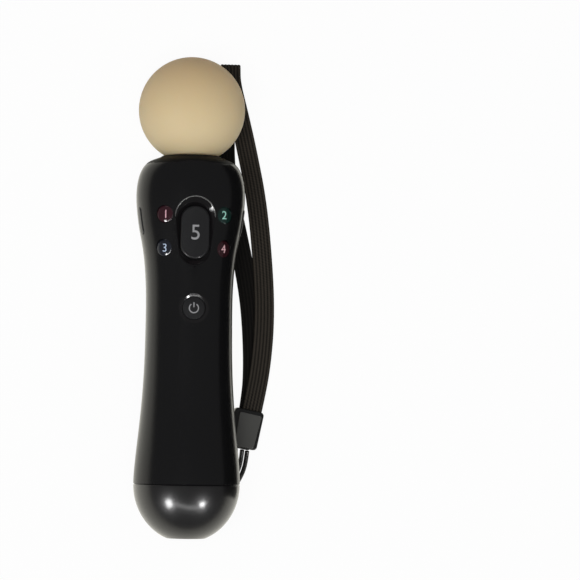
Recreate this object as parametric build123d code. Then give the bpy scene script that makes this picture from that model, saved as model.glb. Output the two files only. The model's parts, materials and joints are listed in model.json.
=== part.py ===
from build123d import *
import math
import os

# A hand-held motion controller wand, lying on its back, with its wrist strap beside it.
# Millimetres. In the sketches x runs to the right, y from the flat end of the bottom cap
# to the top of the ball, and z towards the buttons, with zero on the wand's own axis.
# Each piece is moved to the resting frame as it is written out.

# The wand's outline
wand_length = 200.0
ball_radius = 22.1
cap_length = 22.4
cap_radius = 22.1
cap_dome_length = 24.0
waist_y = 88.0
waist_half_width = 18.0
waist_front = 17.0
waist_rear = 17.0
shoulder_length = 17.5
head_half_width = 22.6
head_front = 18.8
head_rear = 18.0
rim_radius = 12.1
rim_gap = 0.9
shell_wall = 2.0

# Shares that shape the outline: how far along each stretch, and how much it has swollen
handle_shares = ((0.0, 1.0), (0.12, 0.90), (0.27, 0.66), (0.53, 0.27), (0.76, 0.07), (1.0, 0.0))
head_shares = ((0.28, 0.02), (0.44, 0.13), (0.60, 0.35), (0.76, 0.70), (0.875, 0.89), (1.0, 1.0))
shoulder_shares = ((0.23, 0.986), (0.457, 0.924), (0.686, 0.781), (0.88, 0.457), (1.0, 0.0))
round_share = 0.5523
tilt_step_share = 0.02
rib_shares = (0.2, 0.8)
rim_round_share = 0.8
foot_round_share = 0.5
screw_cross_share = 0.7
trigger_back_shares = ((0.22, 0.52), 0.75)
waist_full_share = 0.575
head_full_share = 0.60

# Clearances and cutting
overrun = 3.0
seat_gap = 0.1
slide_gap = 0.15
loose_gap = 0.3
shell_split_gap = 0.02
seam_groove = 0.35

# Places along the wand that follow from the outline
seam_y = cap_length
ball_y = wand_length - ball_radius
rim_y = ball_y - math.sqrt(ball_radius**2 - rim_radius**2) - rim_gap
head_y = rim_y - shoulder_length
rest_level = max(ball_radius, cap_radius)

# Ball, collar and lamp
ball_wall = 1.6
neck_bore_radius = 10.6
ball_sleeve_length = 1.6
ball_bead_width = 0.6
ball_bead_height = 1.4
collar_wall = 1.5
collar_flange_radius = 11.6
collar_flange_height = 1.5
collar_foot_height = 1.0
lamp_board_radius = 10.4
lamp_board_thickness = 1.2
lamp_chip_size = 1.6
lamp_chip_height = 0.9
lamp_chip_pitch = 3.2
lamp_chip_count = 3
diffuser_wall = 0.9
diffuser_height = 5.6
diffuser_dome_height = 3.2

# Bottom cap and its sockets
cap_floor = 2.0
cap_edge_round = 1.2
spigot_wall = 1.5
spigot_length = 4.2
spigot_root = 2.6
charge_socket_width = 7.7
charge_socket_height = 4.0
charge_socket_depth = 9.2
socket_metal = 0.4
socket_tongue_height = 1.0
accessory_socket_width = 10.0
accessory_socket_height = 3.8
accessory_socket_depth = 8.0
socket_inset = 0.7
contact_radius = 1.6
contact_offset = 10.5
connector_board_thickness = 1.2
connector_board_half_width = 12.0
connector_board_start = 6.0
connector_board_end = 33.0
strap_hole_y = 8.5
strap_hole_pitch = 6.6
reset_y = 30.5
reset_pinhole_radius = 0.8
reset_switch_side = 4.4
reset_switch_height = 2.2
reset_plunger_radius = 0.9
reset_plunger_proud = 0.8
reset_plunger_depth = 1.4
reset_travel = 0.3

# Button field
recess_top_radius = 7.9
recess_bottom_radius = 4.4
recess_top_drop = 0.9
recess_length = 27.2
recess_side_depth = 0.71
recess_foot_depth = 0.29
recess_reach = 4.2
recess_draft = 24.0
recess_rim_round = 0.25
recess_pad_wall = 2.0
recess_pad_margin = 2.6
move_button_drop = 14.9
move_button_width = 12.0
move_button_length = 22.0
move_button_crown = 26.0
move_button_edge = 0.9
move_button_proud = 1.7
move_flange_width = 0.5
move_flange_end = 0.4
move_flange_height = 1.0
move_stem_radius = 3.0
move_stem_bottom_z = 11.2
move_travel = 1.0
face_button_radius = 3.45
face_button_offset = 12.6
face_button_drop = 7.5
face_button_pitch = 13.8
face_button_dome_radius = 5.2
face_button_proud = 0.75
face_button_travel = 0.8
face_lens_depth = 1.4
face_core_radius = 2.85
face_core_inset = 0.25
face_flange_radius = 4.0
face_flange_height = 1.0
face_flange_depth = 3.1
face_stem_depth = 4.2
face_boss_radius = 5.4
face_boss_sink = 1.6
home_button_drop = 46.0
home_dish_radius = 6.1
home_dish_hollow = 13.0
home_button_radius = 4.75
home_button_proud = 0.15
home_button_crown = 30.0
home_button_edge = 0.35
home_flange_width = 0.9
home_flange_height = 0.9
home_wall = 2.2
home_stem_radius = 2.2
home_stem_bottom_z = 10.9
home_travel = 0.8
side_button_drop = 10.0
side_button_length = 11.0
side_button_height = 3.0
side_button_z = 4.4
side_button_proud = 0.35
side_button_edge = 0.4
side_flange_margin = 0.8
side_flange_thickness = 0.9
side_stem_half = 1.2
side_stem_end_x = 15.1
side_switch_depth = 2.2
side_switch_length = 4.8
side_switch_height = 2.4
status_lens_width = 4.4
status_lens_height = 1.2
status_lens_rise = 0.95
status_lens_length = 4.4

# Boards, pads and the inner frame
frame_bottom_z = 1.0
frame_thickness = 1.5
frame_half_width = 13.0
frame_start_y = 26.0
frame_ring_radius = 11.0
frame_ring_bore = 5.0
frame_ring_thickness = 1.6
main_board_bottom_z = 3.6
board_thickness = 1.2
main_board_half_width = 12.0
main_board_start_y = 52.0
main_board_end_gap = 6.0
standoff_radius = 1.7
standoff_offset = 9.0
chip_height = 1.1
# Each chip's place along and across the board, then its size
chip_shares = ((0.18, 0.0, 0.42), (0.36, -0.3, 0.25), (0.36, 0.32, 0.3), (0.72, 0.0, 0.36),
               (0.86, 0.1, 0.22))
button_board_bottom_z = 6.4
button_board_half_width = 12.5
button_board_above = 3.6
button_board_below = 53.0
pad_thickness = 0.6
pad_half_width = 11.0
pad_dome_gap = 0.1
pad_dome_radius = 2.2
post_radius = 1.6
post_bore_radius = 0.7
post_offset = 9.2
post_low_drop = 33.0
post_high_drop = 1.2

# Power and rumble
cell_width = 18.0
cell_height = 12.0
cell_start_y = 35.0
cell_edge = 1.5
cell_rib_thickness = 1.5
cell_clip_thickness = 1.2
cell_clip_length = 20.0
cell_clip_drop = 6.0
motor_radius = 6.0
motor_length = 12.0
motor_gap_y = 3.0
motor_room = 1.2
motor_axis_z = -7.6
motor_boot_wall = 1.0
motor_boot_length = 10.0
motor_shaft_radius = 1.0
motor_shaft_gap = 0.05
motor_shaft_depth = 8.0
motor_weight_radius = 5.2
motor_weight_length = 5.0
motor_weight_gap = 1.2
motor_rib_half_width = 8.2
motor_rib_thickness = 1.5
motor_rib_inset = 1.0
ribbon_half_width = 4.0
ribbon_thickness = 0.3
ribbon_landing = 3.0
lead_radius = 0.7
lead_bend = 1.3
lead_x = 7.0
lead_z = -3.0
lead_reach = 1.5

# Screws
screw_shank_radius = 1.0
screw_head_radius = 1.9
screw_head_height = 1.5
screw_length = 7.3
screw_seat_z = -2.0
screw_offset = 11.5
screw_low_y = 30.0
screw_high_drop = 40.0
screw_cross = 0.5
boss_radius = 3.2
well_radius = 2.4
small_screw_radius = 0.8
small_screw_head_radius = 1.5
small_screw_head_height = 0.9
small_screw_length = 3.4

# Trigger
trigger_pivot_rise = 3.5
trigger_pivot_z = -10.5
trigger_length = 34.5
trigger_over = 3.3
trigger_half_width = 8.9
trigger_corner = 3.0
trigger_skin = 1.8
trigger_lip_length = 4.0
trigger_hollow_depth = 1.5
trigger_back_slope = 0.6
trigger_side_top_z = -12.4
trigger_ear_half = 3.2
trigger_ear_top_z = -7.6
trigger_gap = 0.35
trigger_foot_gap = 1.6
trigger_top_gap = 1.0
trigger_tab_length = 2.6
trigger_tab_half_width = 3.0
trigger_tab_height = 1.2
trigger_pin_radius = 1.2
trigger_pin_gap = 0.04
trigger_pin_half_length = 11.2
bracket_thickness = 1.6
bracket_ear_thickness = 2.0
bracket_ear_half = 2.2
bracket_length = 31.0
bracket_screw_offset = 6.5
bracket_screw_drop = 16.0
spring_drop = 20.5
spring_radius = 2.5
spring_wire_radius = 0.35
spring_turns = 5
spring_wire_sides = 6
spring_peg_radius = 1.6
spring_peg_length = 3.0
spring_seat_margin = 0.4
spring_seat_height = 1.3
plunger_drop = 10.5
trigger_pad_radius = 2.6
trigger_pad_height = 4.0
plunger_radius = 1.5

# Wrist strap: webbing loop, slider and cord
webbing_width = 8.4
webbing_thickness = 1.0
webbing_layer_gap = 0.5
webbing_lift = 1.1
webbing_stagger = 0.3
slider_width = 12.6
slider_length = 16.3
slider_corner = 1.6
slider_roof = 1.3
slider_side_gap = 0.9
slider_shift = -0.65
slider_rise = 0.5
slider_layer_gap = 0.15
slider_lift = 0.1
slider_plate_width = 9.6
slider_plate_foot_width = 8.2
slider_plate_thickness = 0.8
slider_plate_inset = 1.6
strap_end_width = 6.0
strap_end_length = 5.0
cord_radius = 0.95
cord_spacing = 2.15
cord_offset = 1.1
cord_loop_z = -12.8
cord_end_gap = 0.4
cord_hole_gap = 0.25
floor_gap = 0.05

# The strap's route on the floor, as x and y pairs chosen by hand. Both runs of the webbing start
# at the slider's foot and end at the fold; the cord's strands start at the slider's foot too
slider_foot = (25.81, 36.97)
slider_heading = 11.75
lower_run_points = ((29.5, 58.5), (30.05, 72.5), (29.25, 90.0), (27.5, 105.0), (23.22, 125.39),
                    (18.05, 146.42), (16.5, 165.0), (17.4, 180.5), (18.75, 191.5), (18.6, 198.0))
upper_run_points = ((31.2, 60.0), (33.5, 75.0), (34.6, 92.0), (34.0, 110.8), (31.1, 140.0),
                    (26.4, 162.0), (22.3, 178.5), (18.75, 191.5), (18.6, 198.0))
right_strand_points = ((27.7, 32.3), (26.4, 27.0), (23.0, 21.0), (17.0, 15.5), (10.0, 11.0))
left_strand_points = ((25.6, 32.8), (24.4, 27.8), (21.3, 22.4), (15.7, 17.2), (9.0, 12.9))
bend_share = 0.45

seam_girth = (cap_radius, cap_radius, cap_radius, round_share)
waist_girth = (waist_half_width, waist_front, waist_rear, waist_full_share)
head_girth = (head_half_width, head_front, head_rear, head_full_share)
rim_girth = (rim_radius, rim_radius, rim_radius, round_share)


def block(x, y, z):
    """A box between two ends along each direction."""
    size = Box(x[1] - x[0], y[1] - y[0], z[1] - z[0])
    return Pos(sum(x) / 2, sum(y) / 2, sum(z) / 2) * size


def rod_x(radius, ends, y, z):
    """A round bar across the wand."""
    return Pos(sum(ends) / 2, y, z) * Rot(0, 90, 0) * Cylinder(radius, ends[1] - ends[0])


def rod_y(radius, ends, x=0, z=0):
    """A round bar along the wand."""
    return Pos(x, sum(ends) / 2, z) * Rot(90, 0, 0) * Cylinder(radius, ends[1] - ends[0])


def rod_z(radius, ends, x, y):
    """A round bar from back to front."""
    return Pos(x, y, sum(ends) / 2) * Cylinder(radius, ends[1] - ends[0])


def turned(*edges):
    """A solid turned about the wand's axis from a closed outline of radius and length."""
    return revolve(Face(Wire(edges)), axis=Axis.Y, revolution_arc=360)


def outline(points):
    """Straight edges through the points, closed."""
    return Polyline(*points, close=True).edges()


def write(node, shape):
    """Write one node, lying on its back with the origin under the middle of the wand."""
    placed = Pos(0, -wand_length / 2, rest_level) * shape
    export_step(placed, "parts/" + node + ".step")


def mix(low, high, share):
    """A girth between two others."""
    return [a + (b - a) * share for a, b in zip(low, high)]


def body_stations():
    """The girth of the body at each place along it: half width, front, rear and fullness."""
    rows = []
    for along, swell in handle_shares:
        rows.append((seam_y + (waist_y - seam_y) * along, mix(waist_girth, seam_girth, swell)))
    for along, swell in head_shares:
        rows.append((waist_y + (head_y - waist_y) * along, mix(waist_girth, head_girth, swell)))
    for along, swell in shoulder_shares:
        rows.append((head_y + (rim_y - head_y) * along, mix(rim_girth, head_girth, swell)))
    return rows


def inset_stations(rows, wall):
    """The same stations moved inwards, square to the outline, by the wall."""
    inner = []
    for index, (y, girth) in enumerate(rows):
        before = rows[max(index - 1, 0)]
        after = rows[min(index + 1, len(rows) - 1)]
        slope = (after[1][0] - before[1][0]) / (after[0] - before[0])
        lean = math.hypot(1, slope)
        side = wall / lean
        half_width, front, rear, fullness = girth
        place = y + wall * slope / lean
        inner.append((place, (half_width - side, front - side, rear - side, fullness)))
    inner[0] = (rows[0][0] - overrun, inner[0][1])
    return inner


def cross_section(y, girth):
    """A closed face across the body, of four quarter curves."""
    half_width, front, rear, fullness = girth
    corners = ((half_width, front), (-half_width, front), (-half_width, -rear), (half_width, -rear))
    edges = []
    for index, (across, up) in enumerate(corners):
        side = [(across, 0), (across, fullness * up), (fullness * across, up), (0, up)]
        if index % 2:
            side.reverse()
        edges.append(Bezier(*[(px, y, pz) for px, pz in side]))
    return Face(Wire(edges))


def body_loft(rows):
    """A smooth solid through the stations."""
    return loft([cross_section(y, girth) for y, girth in rows])


def girth_at(y):
    """The body's girth at any place along it."""
    rows = body_stations()
    for low, high in zip(rows, rows[1:]):
        if y <= high[0]:
            return mix(low[1], high[1], (y - low[0]) / (high[0] - low[0]))
    return rows[-1][1]


def quarter_point(girth, share):
    """A point on the front quarter of a cross-section, from its side at 0 to its top at 1."""
    half_width, front, _, fullness = girth
    rest = 1 - share
    ends = (rest**3, 3 * rest**2 * share, 3 * rest * share**2, share**3)
    across = half_width * (ends[0] + ends[1] + fullness * ends[2])
    up = front * (fullness * ends[1] + ends[2] + ends[3])
    return across, up


def surface_point(y, across=None, up=None):
    """The outer surface's point at a given distance from the middle, or at a given height."""
    girth = girth_at(y)
    low, high = 0.0, 1.0
    for _ in range(40):
        middle = (low + high) / 2
        px, pz = quarter_point(girth, middle)
        too_low = px > across if across is not None else pz < up
        low, high = (middle, high) if too_low else (low, middle)
    return quarter_point(girth, (low + high) / 2)


def surface_tilt(y, across):
    """How far the surface leans outwards there, in degrees."""
    step = across * tilt_step_share
    inner = surface_point(y, across=across - step)
    outer = surface_point(y, across=across + step)
    return math.degrees(math.atan2(inner[1] - outer[1], outer[0] - inner[0]))


def egg(top_radius, bottom_radius, top_y, bottom_y):
    """An upright egg-shaped face between its top and its bottom."""
    high = top_y - top_radius
    low = bottom_y + bottom_radius
    lean = (top_radius - bottom_radius) / (high - low)
    side = math.sqrt(1 - lean**2)
    top_right = (top_radius * side, high - top_radius * lean)
    bottom_right = (bottom_radius * side, low - bottom_radius * lean)
    top_left = (-top_right[0], top_right[1])
    bottom_left = (-bottom_right[0], bottom_right[1])
    edges = [Line(bottom_right, top_right), ThreePointArc(top_right, (0, top_y), top_left),
             Line(top_left, bottom_left), ThreePointArc(bottom_left, (0, bottom_y), bottom_right)]
    return Face(Wire(edges))


def rounded_plan(half_width, low_y, high_y, corner):
    """A rounded rectangle lengthwise on the wand, as a face."""
    plan = RectangleRounded(2 * half_width, high_y - low_y, corner)
    return Pos(0, (low_y + high_y) / 2) * plan


def stadium(width, length):
    """A slot-shaped face, long along the wand."""
    return SlotOverall(length, width, rotation=90)


# Places that several pieces share
move_y = head_y - move_button_drop
recess_top_y = head_y - recess_top_drop
recess_bottom_y = recess_top_y - recess_length
recess_high_y = recess_top_y - recess_top_radius
recess_low_y = recess_bottom_y + recess_bottom_radius
recess_high_z = surface_point(recess_high_y, across=recess_top_radius)[1] - recess_side_depth
recess_low_z = surface_point(recess_low_y, across=recess_bottom_radius)[1] - recess_foot_depth
recess_slope = (recess_high_z - recess_low_z) / (recess_high_y - recess_low_y)
recess_top_z = recess_high_z + recess_slope * recess_top_radius
recess_bottom_z = recess_low_z - recess_slope * recess_bottom_radius
move_floor_z = recess_bottom_z + recess_slope * (move_y - recess_bottom_y)
pad_under_z = min(recess_top_z, recess_bottom_z) - recess_pad_wall
home_y = head_y - home_button_drop
home_surface_z = surface_point(home_y, across=0)[1]
home_dish_level = home_surface_z + math.sqrt(home_dish_hollow**2 - home_dish_radius**2)
home_floor_z = home_dish_level - math.sqrt(home_dish_hollow**2 - home_button_radius**2)
home_under_z = home_floor_z - home_wall
side_button_y = head_y - side_button_drop
side_surface_x = surface_point(side_button_y, up=side_button_z)[0]
status_y = recess_bottom_y + status_lens_rise
status_floor_z = recess_bottom_z + recess_slope * status_lens_rise
face_high_y = head_y - face_button_drop
face_places = [(side * face_button_offset, face_high_y - row * face_button_pitch)
               for row in range(2) for side in (-1, 1)]
trigger_pivot_y = head_y + trigger_pivot_rise
trigger_top_y = trigger_pivot_y + trigger_over
trigger_foot_y = trigger_pivot_y - trigger_length
trigger_hollow_z = -rest_level + trigger_hollow_depth
spring_y = trigger_pivot_y - spring_drop
spring_seat_z = trigger_hollow_z + trigger_skin / 2 + spring_seat_height
plunger_y = trigger_pivot_y - plunger_drop
screw_high_y = head_y - screw_high_drop
screw_places = [(side * screw_offset, y) for y in (screw_low_y, screw_high_y) for side in (-1, 1)]
frame_top_z = frame_bottom_z + frame_thickness
main_board_top_z = main_board_bottom_z + board_thickness
button_board_top_z = button_board_bottom_z + board_thickness
pad_top_z = button_board_top_z + pad_thickness
main_board_end_y = rim_y - shell_wall - lamp_board_thickness - main_board_end_gap
button_board_start_y = head_y - button_board_below
button_board_end_y = head_y + button_board_above
post_places = [(side * post_offset, head_y - drop)
               for drop in (post_low_drop, -post_high_drop) for side in (-1, 1)]
neck_under_y = rim_y - shell_wall
sleeve_end_y = neck_under_y - ball_sleeve_length + seat_gap
collar_flange_y = sleeve_end_y - collar_flange_height
lamp_board_top_y = collar_flange_y - collar_foot_height
lamp_board_y = lamp_board_top_y - lamp_board_thickness
sleeve_radius = neck_bore_radius - seat_gap
sleeve_bore_radius = sleeve_radius - ball_wall
collar_radius = sleeve_bore_radius - seat_gap / 2
collar_bore_radius = collar_radius - collar_wall
cell_top_z = frame_bottom_z - seat_gap
bracket_bottom_z = frame_bottom_z - seat_gap - bracket_thickness
pad_foot_z = bracket_bottom_z - trigger_pad_height
bracket_screw_y = trigger_pivot_y - bracket_screw_drop
bracket_screw_places = [(side * bracket_screw_offset, bracket_screw_y) for side in (-1, 1)]
weight_y = trigger_foot_y - trigger_tab_length - motor_room - motor_weight_length
motor_end_y = weight_y - motor_weight_gap
motor_start_y = motor_end_y - motor_length
cell_end_y = motor_start_y - motor_gap_y
cell_length = cell_end_y - cell_start_y
ribbon_turn_y = connector_board_end + loose_gap
ribbon_level = (frame_top_z + main_board_bottom_z) / 2
lead_y = cell_end_y + lead_reach
floor_z = -rest_level

body_rows = body_stations()
outer_body = body_loft(body_rows)
inner_body = body_loft(inset_stations(body_rows, shell_wall))
front_half = block((-2 * head_half_width, 2 * head_half_width), (-overrun, wand_length),
                   (shell_split_gap, 2 * cap_radius))
rear_half = block((-2 * head_half_width, 2 * head_half_width), (-overrun, wand_length),
                  (-2 * cap_radius, 0))


def seam_ring():
    """The groove that rounds both lips of the seam between the cap and the shells."""
    points = [(cap_radius - seam_groove, seam_y), (cap_radius + seam_groove, seam_y - 2 * seam_groove),
              (cap_radius + seam_groove, seam_y + 2 * seam_groove)]
    return turned(*outline(points))


def face_frame(place):
    """The tilted frame of a face button, on the surface, its z pointing out of it."""
    across, y = place
    up = surface_point(y, across=abs(across))[1]
    tilt = surface_tilt(y, abs(across))
    return Pos(across, y, up) * Rot(0, math.copysign(tilt, across), 0)


def recess_cut():
    """The egg-shaped dish round the big button, with a sloping floor and flared sides."""
    plan = egg(recess_top_radius, recess_bottom_radius, recess_top_y, recess_bottom_y)
    tilt = math.degrees(math.atan(recess_slope))
    solid = extrude(Pos(0, -recess_bottom_y) * plan, amount=recess_reach, taper=-recess_draft)
    return Pos(0, recess_bottom_y, recess_bottom_z) * Rot(tilt, 0, 0) * solid


def recess_pad():
    """The thicker wall that backs the dish."""
    plan = egg(recess_top_radius + recess_pad_margin, recess_bottom_radius + recess_pad_margin,
               recess_top_y + recess_pad_margin, recess_bottom_y - recess_pad_margin)
    return Pos(0, 0, pad_under_z) * extrude(plan, amount=head_front)


def round_dish(shell):
    """The shell with the dish's rim rounded, where its sides meet the outside."""
    def on_rim(edge):
        middle = edge.center()
        inside = recess_bottom_y - recess_pad_margin < middle.Y < recess_top_y + recess_pad_margin
        floor_there = recess_bottom_z + recess_slope * (middle.Y - recess_bottom_y)
        return inside and abs(middle.X) < recess_top_radius and middle.Z > floor_there
    foot_depth = surface_point(recess_bottom_y, across=0)[1] - recess_bottom_z
    limit = min(rim_round_share * recess_side_depth, rim_round_share * recess_foot_depth,
                foot_round_share * foot_depth)
    rim = shell.edges().filter_by(GeomType.BSPLINE).filter_by(on_rim)
    return fillet(rim, min(recess_rim_round, limit))


def side_prism(length, height, corner, ends):
    """A rounded bar across the wand at the side buttons' place."""
    bar = Plane.YZ * extrude(RectangleRounded(length, height, corner), amount=ends[1] - ends[0])
    return Pos(ends[0], side_button_y, side_button_z) * bar


def build_front_shell():
    """The front half of the handle: button holes, dish, bosses and posts."""
    bore = rod_y(neck_bore_radius, (head_y, rim_y + overrun))
    shell = round_dish(outer_body - inner_body + (recess_pad() & outer_body) - recess_cut())
    shell = (shell - bore - seam_ring()) & front_half
    extras = rod_z(home_dish_radius + seat_gap, (home_under_z, head_front), 0, home_y)
    for place in face_places:
        boss = Cylinder(face_boss_radius, face_flange_depth - face_boss_sink)
        middle = -(face_flange_depth - seat_gap + face_boss_sink) / 2
        extras += face_frame(place) * Pos(0, 0, middle) * boss
    for x, y in screw_places:
        extras += rod_z(boss_radius, (shell_split_gap, head_front), x, y)
    for x, y in post_places:
        extras += rod_z(post_radius, (button_board_top_z, head_front), x, y)
    shell += (extras & outer_body) - recess_cut()
    cuts = Pos(0, move_y, 0) * extrude(stadium(move_button_width + 2 * slide_gap,
                                               move_button_length + 2 * slide_gap), amount=2 * head_front)
    flange_pocket = stadium(move_button_width + 2 * move_flange_width + 2 * loose_gap,
                            move_button_length + 2 * move_flange_end + 2 * loose_gap)
    cuts += Pos(0, move_y, pad_under_z - seat_gap / 2) * extrude(
        flange_pocket, amount=-2 * (move_flange_height + move_travel))
    cuts += Pos(0, home_y, home_dish_level) * Sphere(home_dish_hollow)
    cuts += rod_z(home_button_radius + slide_gap, (0, 2 * head_front), 0, home_y)
    for place in face_places:
        hole = Cylinder(face_button_radius + slide_gap, 2 * head_front)
        cuts += face_frame(place) * hole
        pocket = extrude(Circle(face_flange_radius + loose_gap), amount=-2 * face_stem_depth)
        cuts += face_frame(place) * Pos(0, 0, seat_gap / 2 - face_flange_depth) * pocket
    for side in (-1, 1):
        ends = (side_stem_end_x, head_half_width + overrun)
        hole = side_prism(side_button_length + 2 * slide_gap, side_button_height + 2 * slide_gap,
                          side_button_height / 2, ends)
        pocket_end = side_surface_x - shell_wall - side_flange_thickness + seat_gap
        hole += side_prism(side_button_length + 2 * side_flange_margin + 2 * loose_gap,
                           side_button_height + 2 * loose_gap, side_button_height / 2,
                           (side_stem_end_x, pocket_end))
        cuts += hole if side > 0 else mirror(hole, about=Plane.YZ)
    window = RectangleRounded(status_lens_width + 2 * seat_gap, status_lens_height + 2 * seat_gap,
                              status_lens_height / 3)
    cuts += Pos(0, status_y, 0) * extrude(window, amount=2 * head_front)
    for x, y in screw_places:
        cuts += rod_z(screw_shank_radius, (-overrun, screw_length + screw_seat_z), x, y)
    for x, y in post_places:
        cuts += rod_z(post_bore_radius, (0, button_board_top_z + small_screw_length), x, y)
    return shell - cuts


def build_rear_shell():
    """The rear half: the trigger's slot, screw wells, battery ribs and the reset pinhole."""
    bore = rod_y(neck_bore_radius, (head_y, rim_y + overrun))
    shell = (outer_body - inner_body - bore - seam_ring()) & rear_half
    extras = Part()
    for x, y in screw_places:
        extras += rod_z(boss_radius, (-head_rear * 2, 0), x, y)
    rib_z = cell_top_z - cell_height - seat_gap
    for share in rib_shares:
        y = cell_start_y + cell_length * share
        extras += block((-cell_width / 2, cell_width / 2), (y, y + cell_rib_thickness),
                        (-2 * cap_radius, rib_z))
    shell += extras & outer_body & rear_half
    plan = rounded_plan(trigger_half_width + trigger_gap, trigger_foot_y - trigger_foot_gap,
                        trigger_top_y + trigger_top_gap, trigger_corner)
    cuts = Pos(0, 0, trigger_ear_top_z) * extrude(plan, amount=-2 * head_rear)
    for x, y in screw_places:
        cuts += rod_z(well_radius, (-2 * cap_radius, screw_seat_z), x, y)
        cuts += rod_z(screw_shank_radius + slide_gap, (screw_seat_z - overrun, overrun), x, y)
    cuts += rod_z(reset_pinhole_radius, (-2 * cap_radius, -connector_board_thickness), 0, reset_y)
    return shell - cuts


def cap_profile(radius, length, base_y):
    """A dome's half section, cut off flat at its end."""
    half = Pos(0, seam_y) * Ellipse(radius, length)
    window = Pos(radius / 2, (base_y + seam_y) / 2) * Rectangle(radius, seam_y - base_y)
    return half & window


def build_bottom_cap():
    """The domed bottom cap with its spigot, sockets' windows and strap holes."""
    face = cap_profile(cap_radius, cap_dome_length, 0)
    corner = face.vertices().filter_by(lambda v: v.X > seat_gap).sort_by(Axis.Y)[0]
    dome = revolve(fillet(corner, cap_edge_round), axis=Axis.Y, revolution_arc=360)
    inner = cap_profile(cap_radius - shell_wall, cap_dome_length - shell_wall, cap_floor)
    dome -= revolve(inner, axis=Axis.Y, revolution_arc=360)
    dome -= seam_ring()
    spigot_radius = min(girth_at(seam_y + spigot_length)[:3]) - shell_wall - seat_gap
    root = cap_profile(cap_radius - shell_wall / 2, cap_dome_length - shell_wall / 2, seam_y - spigot_root)
    spigot = revolve(root, axis=Axis.Y, revolution_arc=360)
    spigot += rod_y(spigot_radius, (seam_y - spigot_root, seam_y + spigot_length))
    dome += spigot - rod_y(spigot_radius - spigot_wall, (0, seam_y + 2 * spigot_length))
    for piece in (charge_socket_window(seat_gap), accessory_socket_window(seat_gap)):
        dome -= piece
    for side in (-1, 1):
        dome -= rod_y(contact_radius + seat_gap, (-overrun, seam_y), side * contact_offset)
        dome -= rod_z(cord_radius + cord_hole_gap, (-2 * cap_radius, -strap_hole_pitch),
                      side * strap_hole_pitch / 2, strap_hole_y)
    return dome


def charge_socket_window(gap):
    """The way through the cap for the charging socket."""
    half = charge_socket_width / 2 + gap
    low = connector_board_thickness / 2 - gap
    high = low + charge_socket_height + 2 * gap
    return block((-half, half), (-overrun, connector_board_start), (low, high))


def accessory_socket_window(gap):
    """The way through the cap for the accessory socket."""
    half = accessory_socket_width / 2 + gap
    high = -connector_board_thickness / 2 + gap
    low = high - accessory_socket_height - 2 * gap
    return block((-half, half), (-overrun, connector_board_start), (low, high))


def build_socket(width, height, depth, side):
    """A sheet-metal socket with its cavity and its tongue, on one side of its board."""
    low = connector_board_thickness / 2
    back = socket_inset + depth
    body = block((-width / 2, width / 2), (socket_inset, back), (low, low + height))
    inner = width / 2 - socket_metal
    body -= block((-inner, inner), (-overrun, back - 2 * socket_metal),
                  (low + socket_metal, low + height - socket_metal))
    middle = low + height / 2
    body += block((-width / 4, width / 4), (socket_inset + 2 * socket_metal, back),
                  (middle - socket_tongue_height / 2, middle + socket_tongue_height / 2))
    return body if side > 0 else mirror(body, about=Plane.XY)


def build_ball():
    """The soft hollow ball with its sleeve and bead."""
    inner_radius = ball_radius - ball_wall
    outer_y = ball_y - math.sqrt(ball_radius**2 - sleeve_radius**2)
    inner_y = ball_y - math.sqrt(inner_radius**2 - sleeve_bore_radius**2)
    bead_top = sleeve_end_y + ball_bead_height
    bead_radius = sleeve_radius + ball_bead_width
    arc_out = ThreePointArc((0, wand_length), (ball_radius, ball_y), (sleeve_radius, outer_y))
    arc_in = ThreePointArc((sleeve_bore_radius, inner_y), (inner_radius, ball_y), (0, ball_y + inner_radius))
    sleeve = Polyline((sleeve_radius, outer_y), (sleeve_radius, bead_top), (bead_radius, bead_top),
                      (bead_radius, sleeve_end_y), (sleeve_bore_radius, sleeve_end_y),
                      (sleeve_bore_radius, inner_y))
    axis_line = Line((0, ball_y + inner_radius), (0, wand_length))
    return turned(arc_out, *sleeve.edges(), arc_in, axis_line)


def build_collar():
    """The ring that the ball's sleeve is gripped on, with a foot on the lamp board."""
    ring = rod_y(collar_radius, (lamp_board_top_y, rim_y + rim_gap))
    ring += rod_y(collar_flange_radius, (collar_flange_y, sleeve_end_y))
    return ring - rod_y(collar_bore_radius, (lamp_board_top_y - overrun, rim_y + overrun))


def build_diffuser():
    """The clear dome over the lamp chips."""
    radius = collar_bore_radius - seat_gap
    shoulder = lamp_board_top_y + diffuser_height
    outer = rod_y(radius, (lamp_board_top_y, shoulder))
    outer += dome_cap(radius, diffuser_dome_height, shoulder)
    inner = rod_y(radius - diffuser_wall, (lamp_board_top_y - overrun, shoulder))
    inner += dome_cap(radius - diffuser_wall, diffuser_dome_height - diffuser_wall, shoulder)
    return outer - inner


def dome_cap(radius, height, base_y):
    """A low round cap standing on a flat place across the wand."""
    quarter = (Pos(0, base_y) * Ellipse(radius, height)
               & Pos(radius / 2, base_y + height / 2) * Rectangle(radius, height))
    return revolve(quarter, axis=Axis.Y, revolution_arc=360)


def build_lamp_board():
    """The round lamp board."""
    return rod_y(lamp_board_radius, (lamp_board_y, lamp_board_top_y))


def build_lamp_chips():
    """The lamp chips, side by side."""
    chips = Part()
    middle = (lamp_chip_count - 1) / 2
    for index in range(lamp_chip_count):
        x = (index - middle) * lamp_chip_pitch
        chips += block((x - lamp_chip_size / 2, x + lamp_chip_size / 2),
                       (lamp_board_top_y, lamp_board_top_y + lamp_chip_height),
                       (-lamp_chip_size / 2, lamp_chip_size / 2))
    return chips


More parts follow.
